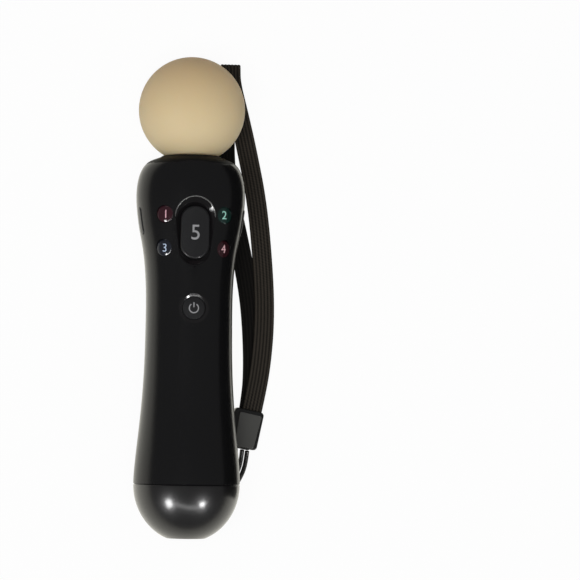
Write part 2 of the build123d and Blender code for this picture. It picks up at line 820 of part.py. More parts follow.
def build_move_button():
    """The big button: a crowned cap, a flange behind the shell and a stem."""
    crown_z = move_floor_z + move_button_proud
    cap = Pos(0, move_y, pad_under_z - seat_gap) * extrude(
        stadium(move_button_width, move_button_length), amount=2 * head_front)
    crown = rod_y(move_button_crown, (move_y - move_button_length, move_y + move_button_length),
                  z=crown_z - move_button_crown)
    cap = cap & crown
    rim = cap.edges().filter_by(lambda edge: edge.center().Z > move_floor_z)
    cap = fillet(rim, move_button_edge)
    flange = stadium(move_button_width + 2 * move_flange_width, move_button_length + 2 * move_flange_end)
    low = pad_under_z - seat_gap - move_flange_height
    cap += Pos(0, move_y, low) * extrude(flange, amount=move_flange_height)
    return cap + rod_z(move_stem_radius, (move_stem_bottom_z, low), 0, move_y)


def build_face_lens():
    """The clear domed cap of a face button, about its own axis."""
    lens = Pos(0, 0, face_button_proud - face_button_dome_radius) * Sphere(face_button_dome_radius)
    column = extrude(Circle(face_button_radius), amount=2 * face_lens_depth)
    lens = lens & Pos(0, 0, -face_lens_depth) * column
    bore = extrude(Circle(face_core_radius + seat_gap / 2), amount=2 * face_lens_depth)
    return lens - Pos(0, 0, -2 * face_lens_depth - face_core_inset) * bore


def build_face_core():
    """The coloured core under the lens, with its flange and stem."""
    spine = extrude(Circle(face_core_radius), amount=-face_stem_depth)
    core = Pos(0, 0, -face_core_inset) * spine
    sleeve_low = face_flange_depth + seat_gap
    core += Pos(0, 0, -sleeve_low) * extrude(Circle(face_button_radius), amount=sleeve_low - face_lens_depth)
    flange = extrude(Circle(face_flange_radius), amount=-face_flange_height)
    return core + Pos(0, 0, -face_flange_depth) * flange


def build_home_button():
    """The small round button in its dish."""
    crown_z = home_floor_z + home_button_proud
    low = home_under_z - seat_gap
    cap = rod_z(home_button_radius, (low, crown_z + home_button_proud), 0, home_y)
    cap = cap & (Pos(0, home_y, crown_z - home_button_crown) * Sphere(home_button_crown))
    rim = cap.edges().filter_by(lambda edge: edge.is_closed).sort_by(Axis.Z)[-1]
    cap = fillet(rim, home_button_edge)
    cap += rod_z(home_button_radius + home_flange_width, (low - home_flange_height, low), 0, home_y)
    return cap + rod_z(home_stem_radius, (home_stem_bottom_z, low), 0, home_y)


def build_side_button(side):
    """A small bar button in the side of the head."""
    inner_x = side_surface_x - shell_wall - side_flange_thickness
    bar = side_prism(side_button_length, side_button_height, side_button_height / 2 - seat_gap,
                     (inner_x, head_half_width + overrun))
    bar = bar & body_loft(inset_stations(body_rows, -side_button_proud))
    bar = fillet(bar.faces().sort_by(Axis.X)[-1].edges(), side_button_edge)
    flange = side_prism(side_button_length + 2 * side_flange_margin, side_button_height,
                        side_button_height / 3, (inner_x - side_flange_thickness, inner_x))
    bar += flange
    bar += block((side_stem_end_x, inner_x), (side_button_y - side_stem_half, side_button_y + side_stem_half),
                 (side_button_z - side_stem_half, side_button_z + side_stem_half))
    return bar if side > 0 else mirror(bar, about=Plane.YZ)


def build_status_lens():
    """The small lamp window's light pipe, flush with the dish's floor."""
    plan = RectangleRounded(status_lens_width, status_lens_height, status_lens_height / 3)
    bar = Pos(0, status_y, status_floor_z - status_lens_length) * extrude(plan, amount=status_lens_length)
    return bar


def build_inner_frame():
    """The inner frame: a long plate with clips, saddles and the lamp board's ring."""
    end_y = lamp_board_y
    plate = block((-frame_half_width, frame_half_width), (frame_start_y, end_y),
                  (frame_bottom_z, frame_top_z))
    for y in (cell_start_y + cell_length / 2, (motor_end_y + head_y) / 2):
        window = rounded_plan(cell_width / 3, y - cell_clip_length / 2, y + cell_clip_length / 2,
                              boss_radius)
        plate -= extrude(window, amount=2 * frame_top_z)
    ring = rod_y(frame_ring_radius, (end_y - frame_ring_thickness, end_y))
    plate += ring - rod_y(frame_ring_bore, (end_y - overrun, end_y + overrun))
    middle = cell_start_y + cell_length / 2
    for side in (-1, 1):
        near = cell_width / 2 + seat_gap
        ends = sorted((side * near, side * (near + cell_clip_thickness)))
        plate += block(ends, (middle - cell_clip_length / 2, middle + cell_clip_length / 2),
                       (frame_bottom_z - cell_clip_drop, frame_bottom_z))
    boot = motor_radius + motor_boot_wall + seat_gap / 2
    for start in (motor_start_y + motor_rib_inset, motor_start_y + motor_boot_length - motor_rib_thickness):
        rib = block((-motor_rib_half_width, motor_rib_half_width), (start, start + motor_rib_thickness),
                    (motor_axis_z, frame_bottom_z))
        plate += rib - rod_y(boot, (start - overrun, start + overrun), z=motor_axis_z)
    for x, y in standoff_places():
        plate += rod_z(standoff_radius, (frame_top_z, main_board_bottom_z), x, y)
        plate -= rod_z(post_bore_radius, (main_board_top_z - small_screw_length, main_board_top_z), x, y)
    for x, y in screw_places:
        plate -= rod_z(boss_radius + seat_gap, (-overrun, frame_top_z + overrun), x, y)
    for x, y in bracket_screw_places:
        plate -= rod_z(post_bore_radius, (0, frame_top_z), x, y)
    plate -= block((-ribbon_half_width - loose_gap, ribbon_half_width + loose_gap),
                   (ribbon_turn_y - loose_gap, ribbon_turn_y + ribbon_thickness + loose_gap),
                   (0, frame_top_z))
    plate -= rod_z(lead_radius + loose_gap, (0, frame_top_z), lead_x, lead_y)
    return plate


def standoff_places():
    """Where the main board is screwed to the frame."""
    ends = (main_board_start_y + 2 * standoff_radius + seat_gap, main_board_end_y - 2 * standoff_radius)
    return [(side * standoff_offset, y) for y in ends for side in (-1, 1)]


def build_main_board():
    """The main board, with notches for the screw bosses."""
    board = block((-main_board_half_width, main_board_half_width), (main_board_start_y, main_board_end_y),
                  (main_board_bottom_z, main_board_top_z))
    for x, y in screw_places:
        board -= rod_z(boss_radius + loose_gap, (0, head_front), x, y)
    for x, y in standoff_places():
        board -= rod_z(small_screw_radius, (0, head_front), x, y)
    return board


def build_board_chips():
    """The larger chips on the main board."""
    chips = Part()
    span = main_board_end_y - main_board_start_y
    for along_share, across_share, size_share in chip_shares:
        y = main_board_start_y + span * along_share
        x = main_board_half_width * across_share
        half = main_board_half_width * size_share
        chips += block((x - half, x + half), (y - half, y + half),
                       (main_board_top_z, main_board_top_z + chip_height))
    return chips


def build_button_board():
    """The board under the buttons, hung from the front shell's posts."""
    board = block((-button_board_half_width, button_board_half_width),
                  (button_board_start_y, button_board_end_y), (button_board_bottom_z, button_board_top_z))
    for x, y in screw_places:
        board -= rod_z(boss_radius + loose_gap, (0, head_front), x, y)
    for x, y in post_places:
        board -= rod_z(small_screw_radius, (0, head_front), x, y)
    return board


def build_button_pad():
    """The rubber pad: a sheet with one dome under each button on the front."""
    low_y = home_y - home_dish_radius
    high_y = face_high_y + face_button_radius
    pad = block((-pad_half_width, pad_half_width), (low_y, high_y), (button_board_top_z, pad_top_z))
    pad += rod_z(move_stem_radius, (pad_top_z, move_stem_bottom_z - move_travel - pad_dome_gap), 0, move_y)
    pad += rod_z(home_stem_radius, (pad_top_z, home_stem_bottom_z - home_travel - pad_dome_gap), 0, home_y)
    reach = face_stem_depth + face_core_inset + face_button_travel + pad_dome_gap
    above = block((-head_half_width, head_half_width), (low_y, high_y), (button_board_top_z, 2 * head_front))
    for place in face_places:
        dome = Pos(0, 0, -reach) * extrude(Circle(pad_dome_radius), amount=-head_front)
        pad += (face_frame(place) * dome) & above
    for x, y in screw_places:
        pad -= rod_z(boss_radius + loose_gap, (0, head_front), x, y)
    for x, y in post_places:
        pad -= rod_z(post_radius + loose_gap, (0, head_front), x, y)
    return pad


def build_side_switches():
    """The two edge switches that the side buttons press."""
    switches = Part()
    for side in (-1, 1):
        ends = sorted((side * main_board_half_width, side * (main_board_half_width + side_switch_depth)))
        case = Box(side_switch_depth, side_switch_length, side_switch_height)
        switches += Pos(sum(ends) / 2, side_button_y, side_button_z) * case
    return switches


def build_battery():
    """The flat battery under the inner frame."""
    cell = block((-cell_width / 2, cell_width / 2), (cell_start_y, cell_end_y),
                 (cell_top_z - cell_height, cell_top_z))
    return fillet(cell.edges().filter_by(Axis.Y), cell_edge)


def build_motor_can():
    """The rumble motor's can, with the bore that its shaft turns in."""
    can = rod_y(motor_radius, (motor_start_y, motor_end_y), z=motor_axis_z)
    bore = rod_y(motor_shaft_radius + motor_shaft_gap,
                 (motor_end_y - motor_shaft_depth, motor_end_y + overrun), z=motor_axis_z)
    return can - bore


def build_motor_boot():
    """The rubber boot round the motor."""
    start = motor_start_y + (motor_length - motor_boot_length) / 2
    boot = rod_y(motor_radius + motor_boot_wall, (start, start + motor_boot_length), z=motor_axis_z)
    return boot - rod_y(motor_radius, (start - overrun, start + motor_length + overrun), z=motor_axis_z)


def build_motor_weight():
    """The half-round weight on its shaft."""
    end_y = weight_y + motor_weight_length
    weight = rod_y(motor_weight_radius, (weight_y, end_y), z=motor_axis_z)
    weight -= block((-motor_radius, motor_radius), (weight_y - overrun, end_y + overrun),
                    (motor_axis_z + motor_shaft_radius + seat_gap, motor_axis_z + 2 * motor_radius))
    start = motor_end_y - motor_shaft_depth + loose_gap
    return weight + rod_y(motor_shaft_radius, (start, end_y), z=motor_axis_z)


def trigger_profile(skin):
    """The trigger's side view, moved in from its back by the skin, as a face in y and z."""
    lip_z = -rest_level + skin
    hollow_z = lip_z + trigger_hollow_depth
    top_y = trigger_top_y - skin
    foot_y = trigger_foot_y + skin
    span = trigger_top_y - trigger_foot_y
    top_z = -surface_rear(trigger_top_y) + skin
    along_shares, depth_share = trigger_back_shares
    lip_y = foot_y + trigger_lip_length * 3 / 2
    back = Spline((top_y, top_z),
                  (trigger_top_y - span * along_shares[0], lip_z + trigger_hollow_depth * depth_share),
                  (trigger_top_y - span * along_shares[1], hollow_z),
                  (foot_y + 2 * trigger_lip_length, lip_z + seat_gap),
                  (lip_y, lip_z), tangents=((-1, -trigger_back_slope), (-1, 0)))
    rise = trigger_lip_length / 2
    lip = Line((lip_y, lip_z), (foot_y + rise, lip_z))
    corner = RadiusArc((foot_y + rise, lip_z), (foot_y, lip_z + rise), rise)
    rear_y = trigger_pivot_y - trigger_ear_half
    open_top = Polyline((foot_y, lip_z + rise), (foot_y, trigger_side_top_z),
                        (rear_y - trigger_ear_half, trigger_side_top_z), (rear_y, trigger_ear_top_z),
                        (top_y, trigger_ear_top_z), (top_y, top_z))
    return Face(Wire([back, lip, corner, *open_top.edges()]))


def surface_rear(y):
    """The body's rear depth at a place along it."""
    return girth_at(y)[2]


def across_prism(face, half_width):
    """A face drawn in y and z, thickened both ways across the wand."""
    return Plane.YZ * extrude(face, amount=half_width, both=True)


def build_trigger():
    """The trigger: a hollow finger lever with two ears, a spring seat and a plunger."""
    body = across_prism(trigger_profile(0), trigger_half_width)
    plan = rounded_plan(trigger_half_width, trigger_foot_y, trigger_top_y, trigger_corner - trigger_gap)
    body = body & extrude(plan, amount=-2 * rest_level)
    hollow = across_prism(trigger_profile(trigger_skin), trigger_half_width - trigger_skin)
    above = block((-trigger_half_width + trigger_skin, trigger_half_width - trigger_skin),
                  (trigger_foot_y + trigger_skin, trigger_top_y - trigger_skin),
                  (trigger_side_top_z - seat_gap, 0))
    body -= hollow + above
    seat_low = trigger_hollow_z + trigger_skin / 2
    body += rod_z(spring_radius + spring_seat_margin, (seat_low, spring_seat_z), 0, spring_y)
    body += rod_z(plunger_radius, (seat_low, pad_foot_z - seat_gap), 0, plunger_y)
    tab_z = -surface_rear(trigger_foot_y) + shell_wall + loose_gap
    body += block((-trigger_tab_half_width, trigger_tab_half_width),
                  (trigger_foot_y - trigger_tab_length, trigger_foot_y + trigger_skin),
                  (tab_z, tab_z + trigger_tab_height))
    body -= rod_x(trigger_pin_radius + trigger_pin_gap, (-head_half_width, head_half_width),
                  trigger_pivot_y, trigger_pivot_z)
    return body


def build_trigger_bracket():
    """The bracket that carries the trigger's pin, its spring and its pad."""
    low_y = trigger_pivot_y + bracket_ear_half - bracket_length
    high_y = trigger_pivot_y + bracket_ear_half
    top_z = bracket_bottom_z + bracket_thickness
    inner = trigger_half_width + trigger_gap
    plate = block((-inner - bracket_ear_thickness, inner + bracket_ear_thickness), (low_y, high_y),
                  (bracket_bottom_z, top_z))
    for side in (-1, 1):
        ends = sorted((side * inner, side * (inner + bracket_ear_thickness)))
        plate += block(ends, (trigger_pivot_y - bracket_ear_half, high_y),
                       (trigger_pivot_z, bracket_bottom_z))
        plate += rod_x(bracket_ear_half, ends, trigger_pivot_y, trigger_pivot_z)
    plate += rod_z(spring_peg_radius, (bracket_bottom_z - spring_peg_length, bracket_bottom_z), 0,
                   spring_y)
    for x, y in bracket_screw_places:
        plate -= rod_z(small_screw_radius, (bracket_bottom_z, top_z), x, y)
    return plate - rod_x(trigger_pin_radius, (-head_half_width, head_half_width),
                         trigger_pivot_y, trigger_pivot_z)


def build_trigger_pin():
    """The pin that the trigger turns on."""
    return rod_x(trigger_pin_radius, (-trigger_pin_half_length, trigger_pin_half_length),
                 trigger_pivot_y, trigger_pivot_z)


def build_case_screws():
    """The four screws that close the shells."""
    screws = Part()
    for x, y in screw_places:
        screw = rod_z(screw_head_radius, (screw_seat_z - screw_head_height, screw_seat_z), x, y)
        screw += rod_z(screw_shank_radius, (screw_seat_z, screw_seat_z + screw_length - seat_gap), x, y)
        half = screw_head_radius * screw_cross_share
        for reach in ((half, screw_cross / 2), (screw_cross / 2, half)):
            screw -= block((x - reach[0], x + reach[0]), (y - reach[1], y + reach[1]),
                           (screw_seat_z - 2 * screw_head_height, screw_seat_z - screw_head_height / 2))
        screws += screw
    return screws


def build_small_screws(places, board_top_z, side):
    """Small screws through a board: heads above it, or below it for the hung board."""
    screws = Part()
    for x, y in places:
        head = sorted((board_top_z, board_top_z + side * small_screw_head_height))
        shank = sorted((board_top_z, board_top_z - side * (small_screw_length - seat_gap)))
        screws += rod_z(small_screw_head_radius, head, x, y) + rod_z(post_bore_radius, shank, x, y)
    return screws


def build_trigger_spring():
    """The compression spring between the bracket and the trigger's seat."""
    low = spring_seat_z + spring_wire_radius + seat_gap
    high = bracket_bottom_z - spring_wire_radius - seat_gap
    radius = spring_radius - spring_wire_radius
    coil = Helix(pitch=(high - low) / spring_turns, height=high - low, radius=radius)
    start = Plane(origin=coil @ 0, z_dir=coil % 0)
    wire = sweep(start * RegularPolygon(spring_wire_radius, spring_wire_sides), path=coil)
    return Pos(0, spring_y, low) * wire


def build_connector_board():
    """The board inside the bottom cap that carries the sockets and the reset switch."""
    half = connector_board_thickness / 2
    board = block((-connector_board_half_width, connector_board_half_width),
                  (connector_board_start, connector_board_end), (-half, half))
    for x, y in screw_places:
        board -= rod_z(boss_radius + loose_gap, (-overrun, overrun), x, y)
    return board


def build_ribbon_cable():
    """The flat cable from the connector board, up through the inner frame, to the main board."""
    low = connector_board_thickness / 2
    rise_y = main_board_start_y - loose_gap
    strips = (((connector_board_end - ribbon_landing, ribbon_turn_y + ribbon_thickness),
               (low, low + ribbon_thickness)),
              ((ribbon_turn_y, ribbon_turn_y + ribbon_thickness), (low, ribbon_level)),
              ((ribbon_turn_y, rise_y), (ribbon_level - ribbon_thickness, ribbon_level)),
              ((rise_y - ribbon_thickness, rise_y), (ribbon_level - ribbon_thickness, main_board_top_z)),
              ((rise_y - ribbon_thickness, main_board_start_y + ribbon_landing),
               (main_board_top_z, main_board_top_z + ribbon_thickness)))
    cable = Part()
    for along, up in strips:
        cable += block((-ribbon_half_width, ribbon_half_width), along, up)
    return cable


def build_battery_lead():
    """The short lead from the battery, up through the inner frame, to the main board."""
    start = (lead_x, cell_end_y, lead_z)
    path = FilletPolyline(start, (lead_x, lead_y, lead_z), (lead_x, lead_y, main_board_bottom_z),
                          radius=lead_bend)
    return sweep(Plane(origin=path @ 0, z_dir=path % 0) * Circle(lead_radius), path=path)


def build_charge_contacts():
    """The two charging contacts, flush with the cap's dome."""
    dome = revolve(cap_profile(cap_radius, cap_dome_length, 0), axis=Axis.Y, revolution_arc=360)
    pins = Part()
    for side in (-1, 1):
        pins += rod_y(contact_radius, (-overrun, connector_board_start), side * contact_offset) & dome
    return pins


def build_reset_switch():
    """The reset switch's case, with the bore that its plunger slides in."""
    top = -connector_board_thickness / 2
    low = top - reset_switch_height
    half = reset_switch_side / 2
    case = block((-half, half), (reset_y - half, reset_y + half), (low, top))
    depth = reset_plunger_depth + reset_travel + seat_gap
    return case - rod_z(reset_plunger_radius + motor_shaft_gap, (low - overrun, low + depth), 0, reset_y)


def build_reset_plunger():
    """The reset switch's plunger, reached through the pinhole."""
    low = -connector_board_thickness / 2 - reset_switch_height
    return rod_z(reset_plunger_radius, (low - reset_plunger_proud, low + reset_plunger_depth), 0, reset_y)


def build_trigger_pad():
    """The rubber pad that the trigger's plunger presses."""
    pad = Cone(trigger_pad_radius - spring_wire_radius, trigger_pad_radius, trigger_pad_height)
    return Pos(0, plunger_y, pad_foot_z + trigger_pad_height / 2) * pad


# The strap lies on the floor, so its own heights are counted from there
slider_frame = Pos(slider_foot[0], slider_foot[1], floor_z) * Rot(0, 0, -slider_heading)
stack_height = 2 * webbing_thickness + webbing_layer_gap
stack_middle = webbing_lift + stack_height / 2
slider_slot_low = webbing_lift - slider_layer_gap
slider_slot_high = webbing_lift + stack_height + slider_layer_gap
slider_roof_z = slider_slot_high + slider_roof


def strap_point(across, along, up):
    """A point in the slider's frame, as a place beside the wand."""
    place = slider_frame * Pos(across, along, up)
    return place.position


def soft_path(points):
    """Straight runs joined by arcs as large as the two runs beside each corner allow."""
    corners = [Vector(*point) for point in points]
    runs = [after - before for before, after in zip(corners, corners[1:])]
    radii = []
    for first, second in zip(runs, runs[1:]):
        turn = math.radians(first.get_angle(second))
        radii.append(bend_share * min(first.length, second.length) / math.tan(turn / 2))
    return FilletPolyline(*corners, radius=radii), radii


def build_webbing():
    """The flat webbing: a lower run, the fold at its far end and an upper run above it."""
    solid = Part()
    levels = (floor_z + webbing_lift + webbing_thickness / 2,
              floor_z + webbing_lift + stack_height - webbing_thickness / 2)
    length = 0
    for side, level, points in zip((-1, 1), levels, (lower_run_points, upper_run_points)):
        start = strap_point(side * webbing_stagger, strap_end_length + seat_gap, 0)
        path, radii = soft_path([(x, y, level) for x, y in ((start.X, start.Y), *points)])
        tangent = path % 0
        section = Plane(origin=path @ 0, x_dir=(tangent.Y, -tangent.X, 0), z_dir=tangent)
        run = sweep(section * Rectangle(webbing_width, webbing_thickness), path=path)
        print("webbing radii", [round(radius, 1) for radius in radii],
              "volume share", round(run.volume / (path.length * webbing_width * webbing_thickness), 4))
        solid += run
        length += path.length
    end = path @ 1
    tangent = path % 1
    hinge = Axis((end.X, end.Y, floor_z + stack_middle), (tangent.Y, -tangent.X, 0))
    section = Plane(origin=end, x_dir=(tangent.Y, -tangent.X, 0), z_dir=tangent)
    fold = revolve(section * Rectangle(webbing_width, webbing_thickness), axis=hinge, revolution_arc=180)
    length += math.pi * (stack_height - webbing_thickness) / 2
    print("webbing length", round(length, 1))
    return solid + fold


def build_cord():
    """The cord: from the strap's end to the cap, round the web between its holes and back."""
    low = floor_z + floor_gap + cord_radius
    far = strap_hole_pitch / 2
    ends = [strap_point(cord_offset + side * cord_spacing / 2, -cord_end_gap, stack_middle)
            for side in (1, -1)]
    points = [ends[0]] + [Vector(x, y, low) for x, y in right_strand_points]
    points += [Vector(far, strap_hole_y, low), Vector(far, strap_hole_y, cord_loop_z),
               Vector(-far, strap_hole_y, cord_loop_z), Vector(-far, strap_hole_y, low)]
    points += [Vector(x, y, low) for x, y in reversed(left_strand_points)] + [ends[1]]
    path, radii = soft_path(points)
    cord = sweep(Plane(origin=path @ 0, z_dir=path % 0) * Circle(cord_radius), path=path)
    section_area = math.pi * cord_radius**2
    print("cord radii", [round(radius, 1) for radius in radii], "length", round(path.length, 1),
          "volume share", round(cord.volume / (section_area * path.length), 4))
    return cord


def build_strap_end():
    """The moulded end that joins the webbing's two ends to the cord."""
    half = strap_end_width / 2
    body = block((-half, half), (0, strap_end_length), (webbing_lift, webbing_lift + stack_height))
    body = fillet(body.edges().filter_by(Axis.Z).group_by(Axis.Y)[0], strap_end_width / 6)
    return slider_frame * body


def build_slider():
    """The slider on the doubled webbing: a rounded case with a slot right through it."""
    case = Pos(slider_shift, slider_length / 2 + slider_rise, slider_lift) * extrude(
        RectangleRounded(slider_width, slider_length, slider_corner), amount=slider_roof_z - slider_lift)
    case = fillet(case.edges().group_by(Axis.Z)[-1], slider_roof / 2)
    half = webbing_width / 2 + slider_side_gap
    slot = block((-half, half), (-overrun, slider_length + slider_rise + overrun),
                 (slider_slot_low, slider_slot_high))
    return slider_frame * (case - slot)


def build_slider_plate():
    """The slider's face plate, narrower towards its foot."""
    top = slider_rise + slider_length - slider_plate_inset
    foot = slider_rise + slider_plate_inset / 4
    wide = slider_plate_width / 2
    narrow = slider_plate_foot_width / 2
    plan = Face(Wire(outline([(-narrow, foot), (narrow, foot), (wide, top), (-wide, top)])))
    plate = extrude(fillet(plan.vertices(), slider_corner / 2), amount=slider_plate_thickness)
    plate = fillet(plate.edges().group_by(Axis.Z)[-1], slider_plate_thickness / 3)
    return slider_frame * Pos(0, 0, slider_roof_z) * plate


def main():
    os.makedirs("parts", exist_ok=True)
    write("front_shell", build_front_shell())
    write("rear_shell", build_rear_shell())
    write("bottom_cap", build_bottom_cap())
    write("ball", build_ball())
    write("ball_collar", build_collar())
    write("light_diffuser", build_diffuser())
    write("lamp_board", build_lamp_board())
    write("lamp_chips", build_lamp_chips())
    write("move_button", build_move_button())
    lens = build_face_lens()
    core = build_face_core()
    for number, place in enumerate(face_places, start=1):
        write(f"face_lens_{number}", face_frame(place) * lens)
        write(f"face_core_{number}", face_frame(place) * core)
    write("home_button", build_home_button())
    write("left_button", build_side_button(-1))
    write("right_button", build_side_button(1))
    write("status_lens", build_status_lens())
    write("inner_frame", build_inner_frame())
    write("main_board", build_main_board())
    write("board_chips", build_board_chips())
    write("button_board", build_button_board())
    write("button_pad", build_button_pad())
    write("side_switches", build_side_switches())
    write("battery", build_battery())
    write("motor_can", build_motor_can())
    write("motor_boot", build_motor_boot())
    write("motor_weight", build_motor_weight())
    write("trigger", build_trigger())
    write("trigger_bracket", build_trigger_bracket())
    write("trigger_pin", build_trigger_pin())
    write("trigger_spring", build_trigger_spring())
    write("trigger_pad", build_trigger_pad())
    write("connector_board", build_connector_board())
    write("charge_socket", build_socket(charge_socket_width, charge_socket_height, charge_socket_depth, 1))
    write("accessory_socket", build_socket(accessory_socket_width, accessory_socket_height,
                                           accessory_socket_depth, -1))
    write("charge_contacts", build_charge_contacts())
    write("ribbon_cable", build_ribbon_cable())
    write("battery_lead", build_battery_lead())
    write("reset_switch", build_reset_switch())
    write("reset_plunger", build_reset_plunger())
    write("case_screws", build_case_screws())
    write("board_screws", build_small_screws(standoff_places(), main_board_top_z, 1))
    write("button_board_screws", build_small_screws(post_places, button_board_bottom_z, -1))
    write("bracket_screws", build_small_screws(bracket_screw_places, bracket_bottom_z, -1))
    write("strap_webbing", build_webbing())
    write("strap_cord", build_cord())
    write("strap_end", build_strap_end())
    write("strap_slider", build_slider())
    write("slider_plate", build_slider_plate())


if __name__ == "__main__":
    main()
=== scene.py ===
"""The looks of a hand-held motion wand with a wrist strap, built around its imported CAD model."""

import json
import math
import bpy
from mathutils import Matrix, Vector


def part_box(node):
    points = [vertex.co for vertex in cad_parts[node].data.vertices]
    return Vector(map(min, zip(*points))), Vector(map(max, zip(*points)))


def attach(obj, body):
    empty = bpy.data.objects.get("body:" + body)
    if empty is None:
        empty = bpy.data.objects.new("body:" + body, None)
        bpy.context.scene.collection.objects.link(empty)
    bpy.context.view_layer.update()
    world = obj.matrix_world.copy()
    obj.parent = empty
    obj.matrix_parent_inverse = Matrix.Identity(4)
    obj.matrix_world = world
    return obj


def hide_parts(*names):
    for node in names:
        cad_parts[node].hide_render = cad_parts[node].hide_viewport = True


bl_info = {
    "name": "Motion wand looks",
    "version": (1, 0, 0),
    "blender": (4, 5, 0),
    "location": "3D View > Sidebar > Wand",
    "description": "Dresses the motion wand's CAD model: finishes, marks, strap, studio and camera",
    "category": "Object",
}

import bpy
from mathutils import Euler, Matrix, Vector
from mathutils.kdtree import KDTree

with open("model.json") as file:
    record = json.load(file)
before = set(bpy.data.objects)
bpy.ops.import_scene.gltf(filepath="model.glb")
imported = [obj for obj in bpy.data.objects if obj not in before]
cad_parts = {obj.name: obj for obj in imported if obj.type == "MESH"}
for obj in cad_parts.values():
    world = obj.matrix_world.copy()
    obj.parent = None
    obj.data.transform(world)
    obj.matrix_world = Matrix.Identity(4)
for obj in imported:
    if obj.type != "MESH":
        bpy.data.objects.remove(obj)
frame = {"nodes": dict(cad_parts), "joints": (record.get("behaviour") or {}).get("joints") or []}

MM = 0.001
# Half the wand's length, because the shared frame counts from the wand's middle
HALF_LENGTH = 0.1
# The height of the handle's axis over the floor, in millimetres
AXIS_UP = 22.1


def cad(node):
    """The CAD object of a node."""
    return frame["nodes"][node]


def joint(name):
    """One joint of the record."""
    return next(entry for entry in frame["joints"] if entry["name"] == name)


def wand_point(across, along, up):
    """A place in millimetres, along counted from the flat end of the cap, up from the floor."""
    return Vector((across, along - HALF_LENGTH / MM, up)) * MM


def tint(name, description, default):
    """A colour that a user may change."""
    return bpy.props.FloatVectorProperty(
        name=name, description=description, subtype="COLOR", size=3, min=0, max=1, default=default)


def length(name, description, low, high, default):
    """A length that a user may change."""
    return bpy.props.FloatProperty(
        name=name, description=description, unit="LENGTH", min=low, max=high, default=default)


def amount(name, description, low, high, default):
    """A plain number that a user may change."""
    return bpy.props.FloatProperty(name=name, description=description, min=low, max=high, default=default)


class WandColours(bpy.types.PropertyGroup):
    """The wand's colours."""

    shell: tint("Shell", "Satin plastic of the handle", (0.005, 0.005, 0.0055))
    cap: tint("Cap", "Glossy plastic of the bottom cap", (0.006, 0.0055, 0.006))
    ball: tint("Ball", "Soft light ball", (0.78, 0.61, 0.36))
    # Painted shade: a darker colour for the ball's far side, where it lies in shade.
    ball_shade: tint("Ball's far side", "The ball's far side, darker as painted shade", (0.55, 0.38, 0.20))
    button: tint("Buttons", "Black buttons and trigger", (0.012, 0.012, 0.013))
    webbing: tint("Webbing", "Ribs of the strap's webbing", (0.046, 0.039, 0.031))
    webbing_deep: tint("Webbing's grooves", "Between the ribs of the webbing", (0.003, 0.003, 0.003))
    cord: tint("Cord", "The strap's round cord", (0.012, 0.012, 0.012))
    plate: tint("Slider's plate", "Grey plate on the slider", (0.062, 0.062, 0.058))
    # Painted highlight: the lip's pale colour stands in for the glint along the top of the dish's rim.
    lip: tint("Dish's lip", "Thin bright lip of the big button's dish", (0.48, 0.48, 0.47))
    mark: tint("Grey marks", "Printed marks on the black buttons", (0.30, 0.30, 0.31))


class FaceButtonLook(bpy.types.PropertyGroup):
    """The face buttons' marks."""

    mark_height: length("Mark height", "Height of the number on a face button", 0.001, 0.006, 0.0034)
    mark_shift: length(
        "Mark shift", "How far a face button's number sits inwards of its dome's top", 0, 0.002, 0.0006)
    mark_thickness: length(
        "Mark thickness", "How far the printed number stands up", 0.00001, 0.0005, 0.00004)
    dome_radius: length("Dome radius", "Radius of a face button's dome", 0.003, 0.02, 0.0083)
    dome_share: amount("Dome height", "Height of a face button's dome against the CAD's", 0.1, 1, 0.58)
    dome_depth: length("Dome depth", "Height of the CAD's dome over its edge", 0, 0.004, 0.00131)
    big_mark_height: length(
        "Big mark height", "Height of the number on the big button", 0.001, 0.012, 0.0062)
    home_mark_radius: length(
        "Home mark radius", "Radius of the on/off sign on the home button", 0.0005, 0.004, 0.0019)
    home_mark_stroke: length("Home mark stroke", "Width of the on/off sign's lines", 0.0001, 0.001, 0.00046)


class DishSizes(bpy.types.PropertyGroup):
    """The glossy dish round the big button, along counted from the flat end of the cap."""

    top_radius: length("Top radius", "Radius of the dish's wide end", 0.004, 0.02, 0.0083)
    bottom_radius: length("Bottom radius", "Radius of the dish's narrow end", 0.002, 0.02, 0.0065)
    top_place: length("Top place", "Middle of the wide end", 0.05, 0.2, 0.1327)
    bottom_place: length("Bottom place", "Middle of the narrow end", 0.05, 0.2, 0.1190)
    slope: bpy.props.FloatProperty(
        name="Slope", description="How steeply the dish's wall falls towards the button", subtype="ANGLE",
        min=0, max=1.4, default=math.radians(33.5))
    lip_height: length("Lip height", "How far the dish's lip stands proud", 0, 0.0005, 0.00006)
    lip_width: length("Lip width", "Half the width of the lip", 0.00005, 0.001, 0.00023)
    bed_height: length("Bed height", "Height of the shell's bed under the dish", 0.03, 0.045, 0.0377)
    button_radius: length(
        "Button radius", "Radius of the big button's round ends with its gap", 0.002, 0.02, 0.00612)
    button_reach: length(
        "Button reach", "Half the distance between the button's round ends", 0.001, 0.02, 0.005)
    home_inner: length(
        "Home hollow's inside", "Inner radius of the hollow round the home button", 0.002, 0.01, 0.00487)
    home_outer: length(
        "Home hollow's outside", "Outer radius of the hollow round the home button", 0.002, 0.01, 0.0062)
    home_hollow: length(
        "Home hollow's radius", "Radius of the ball that the hollow is a piece of", 0.007, 0.1, 0.013)
    home_level: length(
        "Home hollow's level", "Height of that ball's middle over the floor", 0.03, 0.2, 0.050597)
    window_width: length("Window width", "Width of the status window under the button", 0.001, 0.01, 0.0046)
    window_height: length("Window height", "Height of the status window", 0.0003, 0.005, 0.0012)


